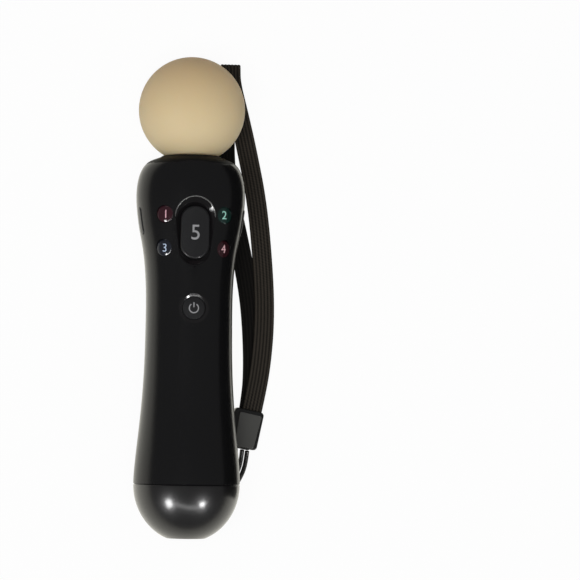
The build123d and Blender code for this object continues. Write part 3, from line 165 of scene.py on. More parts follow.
class ShellSizes(bpy.types.PropertyGroup):
    """The front shell's shoulder under the ball, along counted from the flat end of the cap."""

    shoulder_start: length("Shoulder start", "Where the shoulder begins to fill out", 0.1, 0.2, 0.150)
    shoulder_end: length("Shoulder end", "Where the shell ends under the ball", 0.1, 0.2, 0.1585)
    shoulder_rise: length("Shoulder rise", "How far the shoulder's edge is filled out", 0, 0.004, 0.0026)
    shoulder_power: amount("Shoulder sharpness", "How late the shoulder fills out", 1, 8, 3.5)
    mouth_depth: length("Mouth depth", "How far under the shell's end its dull mouth begins", 0, 0.01, 0.0035)
    mouth_lean: amount("Mouth lean", "How far a dull face looks towards the ball", 0, 1, 0.42)


class StrapSizes(bpy.types.PropertyGroup):
    """The strap's sizes."""

    webbing_width: length("Webbing width", "Width of the webbing", 0.004, 0.02, 0.0084)
    webbing_thickness: length(
        "Webbing thickness", "Thickness of the webbing without its ribs", 0.0004, 0.003, 0.0008)
    rib_count: bpy.props.IntProperty(
        name="Ribs", description="Ribs along the webbing", min=2, max=12, default=6)
    rib_height: length("Rib height", "Height of the webbing's ribs", 0, 0.0005, 0.00014)
    cord_diameter: length("Cord diameter", "Diameter of the round cord", 0.001, 0.004, 0.0019)


class StudioLook(bpy.types.PropertyGroup):
    """The floor, the lamps and the camera."""

    camera_place: bpy.props.FloatVectorProperty(
        name="Camera", description="Where the camera stands", subtype="XYZ", unit="LENGTH", size=3,
        default=(-0.16322, -0.04718, 1.385))
    camera_turn: bpy.props.FloatVectorProperty(
        name="Camera turn", description="How the camera is turned", subtype="EULER", size=3,
        default=(0.03492, -0.15015, 0.01375))
    lens: amount("Lens", "Focal length in millimetres on a 36 mm frame", 10, 1000, 205.06)
    floor: tint("Floor", "Colour of the floor", (0.86, 0.86, 0.86))
    floor_in_gloss: bpy.props.FloatVectorProperty(
        name="Floor in gloss", description="Colour of the floor as glossy pieces mirror it",
        subtype="COLOR", size=3, min=0, max=2, default=(1.45, 1.42, 1.28))
    floor_reach: length(
        "Floor's reach in gloss", "Distance from the wand at which the mirrored floor is half as bright",
        0.01, 10, 0.15)
    floor_white: amount("Floor whiteness", "How far the floor is seen as plain white", 0, 1, 0.94)
    left_power: amount("Left lamp", "Power of the lamp beyond the cap on the left", 0, 1000, 10.0)
    right_power: amount("Right lamp", "Power of the lamp beyond the cap on the right", 0, 1000, 7.0)
    fill_power: amount("Fill lamp", "Power of the broad lamp that no gloss shows", 0, 1000, 26.0)
    strip_power: amount("Strip lamp", "Power of the wide dim strip between the two lamps", 0, 1000, 2.2)
    sky: amount("Room", "Brightness of the room's light", 0, 3, 0.25)
    gloss_room: amount("Room in gloss", "Brightness of the room as glossy pieces mirror it", 0, 3, 0.13)


PANEL_GROUPS = (
    ("wand_colours", WandColours), ("shell_sizes", ShellSizes), ("dish_sizes", DishSizes),
    ("face_buttons", FaceButtonLook), ("strap_sizes", StrapSizes), ("studio", StudioLook))


class Wire:
    """A shader socket that can be written into sums."""

    def __init__(self, finish, socket):
        self.finish = finish
        self.socket = socket

    def sum_with(self, operation, other, flipped=False):
        """A Math node of this value and another."""
        pair = [other, self] if flipped else [self, other]
        return self.finish.add("ShaderNodeMath", {"operation": operation}, pair)

    def __add__(self, other):
        return self.sum_with("ADD", other)

    def __sub__(self, other):
        return self.sum_with("SUBTRACT", other)

    def __mul__(self, other):
        return self.sum_with("MULTIPLY", other)

    def __truediv__(self, other):
        return self.sum_with("DIVIDE", other)

    def __pow__(self, other):
        return self.sum_with("POWER", other)

    def __rsub__(self, other):
        return self.sum_with("SUBTRACT", other, flipped=True)

    def __rtruediv__(self, other):
        return self.sum_with("DIVIDE", other, flipped=True)

    __radd__ = __add__
    __rmul__ = __mul__

    def wave(self):
        """The sine of the value."""
        return self.finish.add("ShaderNodeMath", {"operation": "SINE"}, [self])

    def limited(self):
        """The value held between 0 and 1."""
        return self.finish.add("ShaderNodeMath", {"operation": "ADD", "use_clamp": True}, [self, 0.0])


class Finish:
    """One procedural material, written node by node."""

    def __init__(self, name, world=None):
        owner = world or bpy.data.materials.new(name)
        owner.use_nodes = True
        self.owner = owner
        self.tree = owner.node_tree
        self.shader = self.tree.nodes.get("Principled BSDF")

    def add(self, kind, settings=None, values=(), output=0):
        """Any node: its settings first, then the values or links of its sockets."""
        node = self.tree.nodes.new(kind)
        for name, value in (settings or {}).items():
            setattr(node, name, value)
        pairs = values.items() if isinstance(values, dict) else enumerate(values)
        for key, value in pairs:
            self.feed(node.inputs[key], value)
        return Wire(self, node.outputs[output])

    def feed(self, socket, value):
        """Set a socket, or link it."""
        if isinstance(value, Wire):
            self.tree.links.new(value.socket, socket)
        else:
            socket.default_value = value

    def set(self, **values):
        """Values or links of the surface shader, with low lines for spaces."""
        for name, value in values.items():
            socket = self.shader.inputs[name.replace("_", " ")]
            if socket.type == "RGBA" and not isinstance(value, Wire):
                value = (*value, 1.0)
            self.feed(socket, value)
        return self

    def place(self):
        """Object coordinates in metres."""
        return self.add("ShaderNodeTexCoord", output="Object")

    def parts(self, vector):
        """The x, y and z of a vector."""
        node = self.tree.nodes.new("ShaderNodeSeparateXYZ")
        self.tree.links.new(vector.socket, node.inputs[0])
        return [Wire(self, socket) for socket in node.outputs]

    def noise(self, scale):
        """Fine cloudy noise on the object's coordinates, so many waves to the metre."""
        return self.add("ShaderNodeTexNoise", {}, {"Vector": self.place(), "Scale": scale})

    def blend(self, share, low, high):
        """A colour between two others."""
        return self.add("ShaderNodeMix", {"data_type": "RGBA"},
                        {0: share, 6: colour(low), 7: colour(high)}, output=2)

    def bump(self, height, depth):
        """A normal from a height between 0 and 1, as deep as said in metres."""
        return self.add("ShaderNodeBump", {}, {"Strength": 1.0, "Distance": depth, "Height": height})


def colour(value):
    """A link as it is, or a colour with its alpha."""
    return value if isinstance(value, Wire) else (*value[:3], 1.0)


def plain(name, base, rough, metal=0.0, coat=0.0):
    """A plain finish with no pattern."""
    finish = Finish(name)
    finish.set(Base_Color=base, Roughness=rough, Metallic=metal, Coat_Weight=coat)
    return finish


def satin_plastic(name, base, rough, grain, coat=0.0):
    """Moulded plastic with a very fine grain."""
    finish = plain(name, base, rough, coat=coat)
    grain_waves, cloud_waves, unevenness = 2600.0, 45.0, 0.08
    speckle = finish.noise(grain_waves)
    cloud = finish.noise(cloud_waves)
    finish.set(Roughness=rough + (cloud - 0.5) * unevenness, Normal=finish.bump(speckle, grain))
    return finish


def ball_skin(near, far):
    """Soft matt rubber, paler towards the handle's side of its front and darker away from it as painted
    shade.
    """
    finish = plain("ball_skin", near, 0.62)
    _, along, up = finish.parts(finish.place())
    low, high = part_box("ball")
    middle = (low[1] + high[1]) / 2
    reach = (high[1] - low[1]) / 2
    share = ((along - middle) / reach * 0.5 + 0.5).limited()
    grain_waves, grain = 900.0, 0.00002
    speckle = finish.noise(grain_waves)
    # Painted shade: the colour darkens from the handle's side towards the ball's far end.
    finish.set(Base_Color=finish.blend(share * share, near, far), Subsurface_Weight=0.25,
               Subsurface_Radius=(0.01, 0.006, 0.003), Subsurface_Scale=0.6,
               Normal=finish.bump(speckle, grain))
    return finish


def woven_webbing(groove, rib, count):
    """Ribbed webbing with a fine slanted weave, on the strip's own map, darker on its lower run."""
    finish = plain("woven_webbing", rib, 0.8)
    weave_waves, weave_slant, fleck_waves, weave_depth = 2600.0, 40.0, 1500.0, 0.00008
    rib_share, weave_share, fleck_share, dark_share = 0.65, 0.2, 0.25, 0.05
    upper_start_share, upper_steepness, lower_share = 0.46, 25.0, 0.15
    uv = finish.add("ShaderNodeUVMap", {"uv_map": "UVMap"})
    across, along, _ = finish.parts(uv)
    ribs = (across * (4 * math.pi * count) - math.pi / 2).wave() * 0.5 + 0.5
    weave = ((along * weave_waves) + (across * weave_slant)).wave() * 0.5 + 0.5
    fleck = finish.noise(fleck_waves)
    share = (ribs * rib_share + weave * weave_share + fleck * fleck_share - dark_share).limited()
    upper_run = ((along - upper_start_share) * upper_steepness).limited()
    light = upper_run * (1 - lower_share) + lower_share
    finish.set(Base_Color=finish.blend(share * light, groove, rib),
               Normal=finish.bump(weave * 0.5 + fleck * 0.5, weave_depth), Specular_IOR_Level=0.12)
    return finish


def braided_cord(base):
    """Tight round cord with a fine slanted braid."""
    finish = plain("braided_cord", base, 0.42, coat=0.15)
    twill_waves, twill_depth = 5200.0, 0.00005
    across, along, _ = finish.parts(finish.place())
    twill = ((across + along) * twill_waves).wave() * 0.5 + 0.5
    finish.set(Normal=finish.bump(twill, twill_depth))
    return finish


def dome_plastic(number, base):
    """The dark tinted dome of a face button."""
    return plain(f"button_dome_{number}", base, 0.12, coat=0.6)


def assign(obj, finish):
    """Give an object one finish."""
    obj.data.materials.clear()
    obj.data.materials.append(finish.owner)


def clear_selection():
    """Leave nothing selected, and no object in edit mode."""
    if bpy.context.object and bpy.context.object.mode != "OBJECT":
        bpy.ops.object.mode_set(mode="OBJECT")
    bpy.ops.object.select_all(action="DESELECT")


def pick(obj):
    """Select one object and make it the active one."""
    clear_selection()
    obj.select_set(True)
    bpy.context.view_layer.objects.active = obj


def settle(obj, name):
    """Name an object and put its place into its mesh."""
    pick(obj)
    bpy.ops.object.transform_apply(location=True, rotation=True, scale=True)
    obj.name = name
    obj.data.name = name


def smooth(obj, degrees=30):
    """Shade an object smooth but for its sharp edges."""
    pick(obj)
    bpy.ops.object.shade_smooth_by_angle(angle=math.radians(degrees))


def dress(node, finish):
    """Give a CAD node its finish, shaded smooth."""
    assign(cad(node), finish)
    smooth(cad(node))


def flat_grid(columns, rows):
    """A new unit square of small squares, to be shaped."""
    clear_selection()
    bpy.ops.mesh.primitive_grid_add(x_subdivisions=columns, y_subdivisions=rows, size=1)
    return bpy.context.object


def weld(obj, reach):
    """Join the corners of a mesh that lie at one place."""
    pick(obj)
    bpy.ops.object.mode_set(mode="EDIT")
    bpy.ops.mesh.select_all(action="SELECT")
    bpy.ops.mesh.remove_doubles(threshold=reach)
    bpy.ops.object.mode_set(mode="OBJECT")


def face_outwards(obj):
    """Turn all faces of a mesh outwards."""
    pick(obj)
    bpy.ops.object.mode_set(mode="EDIT")
    bpy.ops.mesh.select_all(action="SELECT")
    bpy.ops.mesh.normals_make_consistent(inside=False)
    bpy.ops.object.mode_set(mode="OBJECT")


def thicken(obj, thickness, offset):
    """Give a sheet its thickness, to both sides or to one."""
    pick(obj)
    skin = obj.modifiers.new("thickness", "SOLIDIFY")
    skin.thickness = thickness
    skin.offset = offset
    bpy.ops.object.modifier_apply(modifier=skin.name)


def extent(node, direction):
    """How far a CAD node reaches along a direction, low and high."""
    reach = [vertex.co.dot(direction) for vertex in cad(node).data.vertices]
    return min(reach), max(reach)


def button_frame(node, outwards):
    """A button's own frame: origin on its top, z out of it, y along the wand."""
    out = outwards.normalized()
    across = Vector((0, 1, 0)).cross(out).normalized()
    along = out.cross(across)
    place = Vector()
    for direction in (across, along):
        low, high = extent(node, direction)
        place += direction * (low + high) / 2
    place += out * extent(node, out)[1]
    turn = Matrix((across, along, out)).transposed().to_4x4()
    return Matrix.Translation(place) @ turn


# The size of Blender's own type for numbers of height 1
TYPE_SIZE_SHARE = 1.42


def number_mark(text, height, thickness, name):
    """A plain number, lying flat, as a mesh centred on its own origin and fine enough to be bent."""
    clear_selection()
    bpy.ops.object.text_add()
    mark = bpy.context.object
    mark.data.body = text
    mark.data.size = height * TYPE_SIZE_SHARE
    mark.data.extrude = thickness
    mark.data.align_x = "CENTER"
    mark.data.align_y = "CENTER"
    mark.data.resolution_u = 6
    bpy.ops.object.convert(target="MESH")
    mark = bpy.context.object
    bpy.ops.object.origin_set(type="ORIGIN_GEOMETRY", center="BOUNDS")
    mark.location = (0, 0, 0)
    mark.name = name
    bpy.ops.object.mode_set(mode="EDIT")
    bpy.ops.mesh.select_all(action="SELECT")
    bpy.ops.mesh.quads_convert_to_tris()
    bpy.ops.mesh.subdivide(number_cuts=4)
    bpy.ops.object.mode_set(mode="OBJECT")
    return mark


def power_mark(radius, stroke, thickness, name):
    """A plain on/off sign, lying flat: a ring open at its top and a bar in the opening."""
    ring_start, ring_sweep = math.radians(125), math.radians(290)
    bar_middle_share, bar_length_share = 0.72, 1.06
    mark = flat_grid(40, 1)
    for vertex in mark.data.vertices:
        turn = ring_start + ring_sweep * (vertex.co.x + 0.5)
        reach = radius + stroke * vertex.co.y
        vertex.co = (reach * math.cos(turn), reach * math.sin(turn), 0)
    bar = flat_grid(1, 6)
    for vertex in bar.data.vertices:
        along = radius * (bar_middle_share + bar_length_share * vertex.co.y)
        vertex.co = (vertex.co.x * stroke, along, 0)
    pick(mark)
    bar.select_set(True)
    bpy.ops.object.join()
    thicken(mark, 2 * thickness, 0)
    face_outwards(mark)
    mark.name = name
    return mark


def wrap_on_dome(mark, place, radius, lift, shift=0.0):
    """Lay a flat mark on a dome whose top is at the frame's origin, moved sideways by the shift."""
    for vertex in mark.data.vertices:
        x, y, z = vertex.co
        x += shift
        drop = radius - math.sqrt(radius**2 - x**2 - y**2)
        vertex.co = place @ Vector((x, y, z + lift - drop))


# How far apart two corners or faces of a CAD mesh and its copy can lie and still be the same one
TWIN_REACH = 0.000002


def merged_copy(node, name):
    """A copy of a CAD node whose loose triangles are joined."""
    pick(cad(node))
    bpy.ops.object.duplicate()
    copy = bpy.context.object
    weld(copy, TWIN_REACH)
    copy.name = name
    copy.data.name = name
    return copy


def twin_face(faces, source, face):
    """The face of a CAD mesh that a face of its copy comes from, or nothing for a new face."""
    same_way, area_slack_share = 0.98, 0.02
    for _, index, _ in faces.find_range(face.center, TWIN_REACH):
        twin = source.polygons[index]
        same_area = abs(twin.area - face.area) < area_slack_share * face.area
        if same_area and twin.normal.dot(face.normal) > same_way:
            return twin
    return None


def keep_skin(shell, node, limit):
    """Give a merged copy its CAD node's own shading, up to a place along the wand."""
    source = cad(node).data
    faces = KDTree(len(source.polygons))
    for face in source.polygons:
        faces.insert(face.center, face.index)
    faces.balance()
    normals = [corner.vector.copy() for corner in shell.data.corner_normals]
    for face in shell.data.polygons:
        twin = twin_face(faces, source, face) if face.center.y <= limit else None
        if twin is None:
            continue
        corners = {loop: source.vertices[source.loops[loop].vertex_index].co for loop in twin.loop_indices}
        for corner in face.loop_indices:
            spot = shell.data.vertices[shell.data.loops[corner].vertex_index].co
            nearest = min(corners, key=lambda loop: (corners[loop] - spot).length)
            normals[corner] = source.corner_normals[nearest].vector.copy()
    shell.data.normals_split_custom_set(normals)


def fill_out_shoulder(shell, sizes):
    """Lift the shell's shoulder under the ball, most at its edge and not at all at the sides."""
    middle = wand_point(0, 0, AXIS_UP).z
    start = sizes.shoulder_start - HALF_LENGTH
    stretch = sizes.shoulder_end - sizes.shoulder_start
    top = extent("front_shell", Vector((0, 0, 1)))[1] - middle
    still_share, full_share = 0.2, 0.7
    for vertex in shell.data.vertices:
        way = min((vertex.co.y - start) / stretch, 1)
        if way > 0:
            height = (vertex.co.z - middle) / top
            share = min(max((height - still_share) / (full_share - still_share), 0), 1)
            vertex.co.z += sizes.shoulder_rise * way**sizes.shoulder_power * share


def surface_height(across, along):
    """The height of the front shell's CAD surface at a place, or nothing over an opening."""
    over_all = 0.1
    # A ray that meets an edge can slip through, so it is sent again a little to the side
    nudges = (0, 0.00001, -0.00002)
    for nudge in nudges:
        start = Vector((across + nudge, along + nudge, over_all))
        hit, place, _, _ = cad("front_shell").ray_cast(start, Vector((0, 0, -1)))
        if hit:
            return place.z
    return None


def rounded_gap(across, along, low_radius, high_radius, low_place, high_place):
    """Distance from the outline round two circles, less than 0 inside it."""
    reach = high_place - low_place
    lean = (low_radius - high_radius) / reach
    upright = math.sqrt(1 - lean**2)
    side, rise = abs(across), along - low_place
    way = rise * upright - side * lean
    if way < 0:
        return math.hypot(side, rise) - low_radius
    if way > upright * reach:
        return math.hypot(side, rise - reach) - high_radius
    return side * upright + rise * lean - low_radius


class Dish:
    """The shape of the dish round the big button, as distances from its rim and from the button."""

    def __init__(self, sizes):
        self.sizes = sizes
        low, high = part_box("move_button")
        self.middle = (low[1] + high[1]) / 2

    def spot(self, reach, turn):
        """The place at a distance and in a direction from the button's middle."""
        return reach * math.cos(turn), self.middle + reach * math.sin(turn)

    def rim_gap(self, across, along):
        """Distance from the dish's rim, less than 0 inside it."""
        sizes = self.sizes
        return rounded_gap(across, along, sizes.bottom_radius, sizes.top_radius,
                           sizes.bottom_place - HALF_LENGTH, sizes.top_place - HALF_LENGTH)

    def button_gap(self, across, along):
        """Distance from the hole for the button, less than 0 inside it."""
        sizes = self.sizes
        return rounded_gap(across, along, sizes.button_radius, sizes.button_radius,
                           self.middle - sizes.button_reach, self.middle + sizes.button_reach)

    def reach(self, gap, turn):
        """How far an outline lies from the button's middle in a direction."""
        farthest, halvings = 0.03, 30
        low, high = 0.0, farthest
        for _ in range(halvings):
            middle = (low + high) / 2
            if gap(*self.spot(middle, turn)) < 0:
                low = middle
            else:
                high = middle
        return (low + high) / 2

    def height(self, across, along):
        """The dish's surface at a place between its lip and the button."""
        sizes = self.sizes
        skin_share, wall_start_share = 1.6, 0.6
        turn = math.atan2(along - self.middle, across)
        edge = self.reach(self.rim_gap, turn) + skin_share * sizes.lip_width
        skin = surface_height(*self.spot(edge, turn))
        gap = self.rim_gap(across, along)
        bulge = max(1 - (gap / sizes.lip_width)**2, 0)**0.5 if abs(gap) < sizes.lip_width else 0
        if gap >= 0:
            return skin + sizes.lip_height * bulge
        depth = max(-gap - sizes.lip_width * wall_start_share, 0) * math.tan(sizes.slope)
        return skin + sizes.lip_height * bulge - depth

    def cut_bed(self, shell):
        """Cut the shell away under the dish."""
        overrun, inset_share = 0.01, 0.25
        clear_selection()
        bpy.ops.mesh.primitive_cylinder_add(vertices=144, radius=1, depth=1)
        cutter = bpy.context.object
        for vertex in cutter.data.vertices:
            turn = math.atan2(vertex.co.y, vertex.co.x)
            reach = self.reach(self.rim_gap, turn) - self.sizes.lip_width * inset_share
            level = self.sizes.bed_height + (overrun if vertex.co.z > 0 else 0)
            vertex.co = (*self.spot(reach, turn), level)
        pick(shell)
        cut = shell.modifiers.new("dish_bed", "BOOLEAN")
        cut.operation = "DIFFERENCE"
        cut.solver = "EXACT"
        cut.object = cutter
        bpy.ops.object.modifier_apply(modifier=cut.name)
        bpy.data.objects.remove(cutter)


WELD_REACH = 0.000001


class WAND_OT_dish(bpy.types.Operator):
    """Mould the glossy dish round the big button, with its lip and a painted highlight on the lip's top half
    """

    bl_idname = "wand.dish"
    bl_label = "Dish"

    def execute(self, context):
        dish = Dish(context.scene.dish_sizes)
        lip = dish.sizes.lip_width
        around, rows = 144, 20
        rim_share = 0.95
        lip_shares = (0.9, 0.6, 0.3, 0.0, -0.3, -0.6, -0.9, -1.2)
        rim_sink, button_sink = 0.0001, 0.0002
        ring = flat_grid(around, rows)
        for vertex in ring.data.vertices:
            turn = 2 * math.pi * (vertex.co.x + 0.5)
            row = round((vertex.co.y + 0.5) * rows)
            outer = dish.reach(dish.rim_gap, turn)
            inner = dish.reach(dish.button_gap, turn)
            sunk = 0
            if row == 0 or row == rows:
                reach, sunk = outer + lip * rim_share, rim_sink
            elif row <= len(lip_shares):
                reach = outer + lip * lip_shares[row - 1]
            elif row < rows - 1:
                reach = outer + lip * lip_shares[-1]
                reach += (inner - reach) * (row - len(lip_shares)) / (rows - 2 - len(lip_shares))
            else:
                reach, sunk = inner, button_sink
            across, along = dish.spot(reach, turn)
            vertex.co = (across, along, dish.height(across, along) - sunk)
        weld(ring, WELD_REACH)
        face_outwards(ring)
        settle(ring, "button_dish")
        smooth(ring, 40)
        tints = context.scene.wand_colours
        assign(ring, plain("dish_gloss", tints.cap, 0.09))
        # Painted highlight: pale metal on the lip's top half only, where the glint along the rim falls.
        ring.data.materials.append(plain("lip_metal", tints.lip, 0.28, metal=1.0).owner)
        for face in ring.data.polygons:
            bright = face.center.y > dish.sizes.top_place - HALF_LENGTH
            if bright and abs(dish.rim_gap(face.center.x, face.center.y)) < lip:
                face.material_index = 1
        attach(ring, "wand")
        return {"FINISHED"}


class WAND_OT_window(bpy.types.Operator):
    """Lay the small smoked window into the dish under the button"""

    bl_idname = "wand.window"
    bl_label = "Status window"

    def execute(self, context):
        dish = Dish(context.scene.dish_sizes)
        low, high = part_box("status_lens")
        middle = (low[1] + high[1]) / 2
        widening_share, proud, thickness = 0.25, 0.00003, 0.0003
        window = flat_grid(16, 6)
        for vertex in window.data.vertices:
            across = vertex.co.x * dish.sizes.window_width * (1 + widening_share * vertex.co.y)
            along = middle + vertex.co.y * dish.sizes.window_height
            vertex.co = (across, along, dish.height(across, along) + proud)
        thicken(window, thickness, -1)
        settle(window, "status_window")
        smooth(window, 40)
        assign(window, plain("smoked_window", (0.010, 0.008, 0.009), 0.10))
        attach(window, "wand")
        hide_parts("status_lens")
        return {"FINISHED"}


class WAND_OT_home_hollow(bpy.types.Operator):
    """Mould the round hollow that the home button lies in"""

    bl_idname = "wand.home_hollow"
    bl_label = "Home button's hollow"

    def execute(self, context):
        sizes = context.scene.dish_sizes
        low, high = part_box("home_button")
        middle = (low[1] + high[1]) / 2
        proud, over_skin, thickness = 0.00002, 0.00003, 0.00008
        hollow = flat_grid(96, 10)
        for vertex in hollow.data.vertices:
            turn = 2 * math.pi * (vertex.co.x + 0.5)
            share = vertex.co.y + 0.5
            reach = sizes.home_inner + (sizes.home_outer - sizes.home_inner) * share
            across, along = reach * math.cos(turn), middle + reach * math.sin(turn)
            bowl = sizes.home_level - math.sqrt(sizes.home_hollow**2 - reach**2)
            skin = surface_height(across, along)
            height = bowl if skin is None else min(bowl, skin + over_skin)
            vertex.co = (across, along, height + proud)
        weld(hollow, WELD_REACH)
        thicken(hollow, thickness, -1)
        settle(hollow, "home_hollow")
        smooth(hollow, 40)
        assign(hollow, plain("hollow_gloss", context.scene.wand_colours.cap, 0.24, coat=0.6))
        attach(hollow, "wand")
        return {"FINISHED"}


class WAND_OT_shell(bpy.types.Operator):
    """Dress the handle's two shells and the bottom cap"""

    bl_idname = "wand.shell"
    bl_label = "Shells and cap"

    def execute(self, context):
        tints = context.scene.wand_colours
        shell = satin_plastic("shell_plastic", tints.shell, 0.22, 0.000004)
        cap = plain("cap_plastic", tints.cap, 0.34, coat=1.0)
        cap.set(Coat_Roughness=0.19)
        # Painted shade: a rougher finish with little gloss stands in for the shade between the shell's end
        # and the ball.
        mouth = satin_plastic("mouth_plastic", tints.shell, 0.5, 0.000004)
        mouth.set(Specular_IOR_Level=0.12)
        front = merged_copy("front_shell", "dressed_front_shell")
        Dish(context.scene.dish_sizes).cut_bed(front)
        smooth(front)
        sizes = context.scene.shell_sizes
        keep_skin(front, "front_shell", sizes.shoulder_start - HALF_LENGTH)
        fill_out_shoulder(front, sizes)
        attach(front, "wand")
        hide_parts("front_shell")
        assign(front, shell)
        front.data.materials.append(mouth.owner)
        # Painted shade: the dull finish goes on the faces near the shell's end that look towards the ball.
        mouth_start = sizes.shoulder_end - HALF_LENGTH - sizes.mouth_depth
        for face in front.data.polygons:
            if face.center.y > mouth_start and face.normal.y > sizes.mouth_lean:
                face.material_index = 1
        dress("rear_shell", shell)
        dress("bottom_cap", cap)
        return {"FINISHED"}


class WAND_OT_ball(bpy.types.Operator):
    """Dress the light ball"""

    bl_idname = "wand.ball"
    bl_label = "Light ball"

    def execute(self, context):
        tints = context.scene.wand_colours
        dress("ball", ball_skin(tints.ball, tints.ball_shade))
        return {"FINISHED"}


# The plastic and the print of the face buttons, from 1 to 4
FACE_TINTS = ((0.030, 0.006, 0.011), (0.005, 0.022, 0.018), (0.012, 0.014, 0.022), (0.026, 0.006, 0.009))
FACE_MARKS = ((0.72, 0.42, 0.48), (0.35, 0.68, 0.58), (0.48, 0.58, 0.74), (0.74, 0.45, 0.48))


class WAND_OT_face_buttons(bpy.types.Operator):
    """Dress the four face buttons and print their numbers"""

    bl_idname = "wand.face_buttons"
    bl_label = "Face buttons"

    def execute(self, context):
        look = context.scene.face_buttons
        sunk = look.dome_depth * (1 - look.dome_share)
        for index, (base, mark_base) in enumerate(zip(FACE_TINTS, FACE_MARKS), start=1):
            dome = dome_plastic(index, base)
            assign(cad(f"face_core_{index}"), dome)
            inward = Vector(joint(f"face_button_{index}_press")["axis"])
            place = button_frame(f"face_lens_{index}", -inward)
            lens = merged_copy(f"face_lens_{index}", f"clear_dome_{index}")
            for vertex in lens.data.vertices:
                spot = place.inverted() @ vertex.co
                if spot.z > -look.dome_depth:
                    spot.z = spot.z * look.dome_share - sunk
                    vertex.co = place @ spot
            assign(lens, dome)
            smooth(lens)
            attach(lens, f"face_button_{index}")
            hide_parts(f"face_lens_{index}")
            place = place @ Matrix.Translation((0, 0, -sunk))
            mark = number_mark(str(index), look.mark_height, look.mark_thickness, f"face_mark_{index}")
            shift = math.copysign(look.mark_shift, inward.x)
            wrap_on_dome(mark, place, look.dome_radius, look.mark_thickness, shift)
            assign(mark, plain(f"face_mark_print_{index}", mark_base, 0.4))
            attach(mark, f"face_button_{index}")
        return {"FINISHED"}


class WAND_OT_black_buttons(bpy.types.Operator):
    """Dress the big button, the home button, the side buttons and the trigger"""

    bl_idname = "wand.black_buttons"
    bl_label = "Black buttons"

    def execute(self, context):
        tints = context.scene.wand_colours
        look = context.scene.face_buttons
        black = satin_plastic("button_plastic", tints.button, 0.34, 0.000006, coat=0.2)
        for node in ("move_button", "home_button", "left_button", "right_button", "trigger"):
            dress(node, black)
        grey = plain("grey_print", tints.mark, 0.5)
        up = Vector((0, 0, 1))
        big_crown, home_crown = 0.2, 0.03
        big = number_mark("5", look.big_mark_height, look.mark_thickness, "big_button_mark")
        wrap_on_dome(big, button_frame("move_button", up), big_crown, look.mark_thickness)
        assign(big, grey)
        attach(big, "move_button")
        home = power_mark(look.home_mark_radius, look.home_mark_stroke, look.mark_thickness, "home_mark")
        wrap_on_dome(home, button_frame("home_button", up), home_crown, look.mark_thickness)
        assign(home, grey)
        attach(home, "home_button")
        return {"FINISHED"}


# Material, colour, roughness, metal and the nodes that have it
INSIDE_FINISHES = (
    ("inner_plastic", (0.10, 0.10, 0.11), 0.5, 0.0, ("ball_collar", "inner_frame", "trigger_bracket")),
    ("milky_plastic", (0.80, 0.80, 0.78), 0.4, 0.0, ("light_diffuser",)),
    ("board_lacquer", (0.02, 0.14, 0.07), 0.35, 0.0,
     ("lamp_board", "main_board", "button_board", "connector_board")),
    ("chip_plastic", (0.02, 0.02, 0.02), 0.5, 0.0, ("board_chips", "side_switches", "reset_switch")),
    ("lamp_chip", (0.85, 0.80, 0.60), 0.3, 0.0, ("lamp_chips",)),
    ("silicone", (0.22, 0.22, 0.22), 0.6, 0.0, ("button_pad", "motor_boot", "trigger_pad")),
    ("cell_film", (0.16, 0.18, 0.24), 0.35, 0.0, ("battery",)),
    ("drawn_metal", (0.62, 0.62, 0.61), 0.28, 1.0,
     ("motor_can", "charge_socket", "accessory_socket", "trigger_pin", "trigger_spring", "motor_weight")),
    ("contact_plating", (0.80, 0.62, 0.30), 0.25, 1.0, ("charge_contacts",)),
    ("screw_metal", (0.36, 0.36, 0.37), 0.35, 1.0,
     ("case_screws", "board_screws", "button_board_screws", "bracket_screws")),
    ("white_plastic", (0.78, 0.78, 0.75), 0.45, 0.0, ("reset_plunger", "ribbon_cable")),
    ("red_sleeve", (0.40, 0.03, 0.02), 0.45, 0.0, ("battery_lead",)),
    ("slider_plastic", (0.010, 0.010, 0.010), 0.30, 0.0, ("strap_slider", "strap_end")),
)


class WAND_OT_inside(bpy.types.Operator):
    """Dress the pieces inside the wand and its small fittings"""

    bl_idname = "wand.inside"
    bl_label = "Inner pieces"

    def execute(self, context):
        for name, base, rough, metal, nodes in INSIDE_FINISHES:
            finish = plain(name, base, rough, metal)
            for node in nodes:
                dress(node, finish)
        return {"FINISHED"}


# The strap's route in millimetres: across, along and up from the floor
WEBBING_ROUTE = (
    (26.56, 42.02, 1.6), (29.5, 58.5, 1.6), (30.05, 72.5, 1.5), (29.25, 90.0, 1.25), (27.5, 105.0, 1.05),
    (23.22, 125.39, 0.95), (18.05, 146.42, 0.95), (16.5, 165.0, 0.95), (17.4, 180.5, 0.95),
    (18.75, 191.5, 0.95), (18.6, 198.6, 1.0), (18.6, 199.3, 1.7), (18.6, 198.6, 2.5),
    (18.75, 191.5, 2.6), (22.3, 178.5, 2.3), (26.4, 162.0, 1.7), (31.1, 140.0, 1.1),
    (34.0, 110.8, 1.5), (34.6, 92.0, 2.4), (33.5, 75.0, 3.0), (31.2, 60.0, 3.1), (27.14, 41.90, 3.1))
CORD_ROUTE = (
    (27.86, 36.13, 2.35), (27.7, 32.3, 1.0), (26.4, 27.0, 1.0), (23.0, 21.0, 1.0), (17.0, 15.5, 1.0),
    (10.0, 11.0, 1.0), (3.3, 8.5, 1.0), (3.3, 8.5, 9.3), (-3.3, 8.5, 9.3), (-3.3, 8.5, 1.0),
    (9.0, 12.9, 1.0), (15.7, 17.2, 1.0), (21.3, 22.4, 1.0), (24.4, 27.8, 1.0), (25.6, 32.8, 1.0),
    (25.75, 36.57, 2.35))


def route_curve(name, points):
    """A smooth NURBS curve through the route's points as its control points."""
    data = bpy.data.curves.new(name, "CURVE")
    data.dimensions = "3D"
    data.resolution_u = 12
    spline = data.splines.new("NURBS")
    spline.points.add(len(points) - 1)
    for point, place in zip(spline.points, points):
        point.co = (*wand_point(*place), 1.0)
    spline.order_u = 3
    spline.use_endpoint_u = True
    obj = bpy.data.objects.new(name, data)
    bpy.context.scene.collection.objects.link(obj)
    return obj


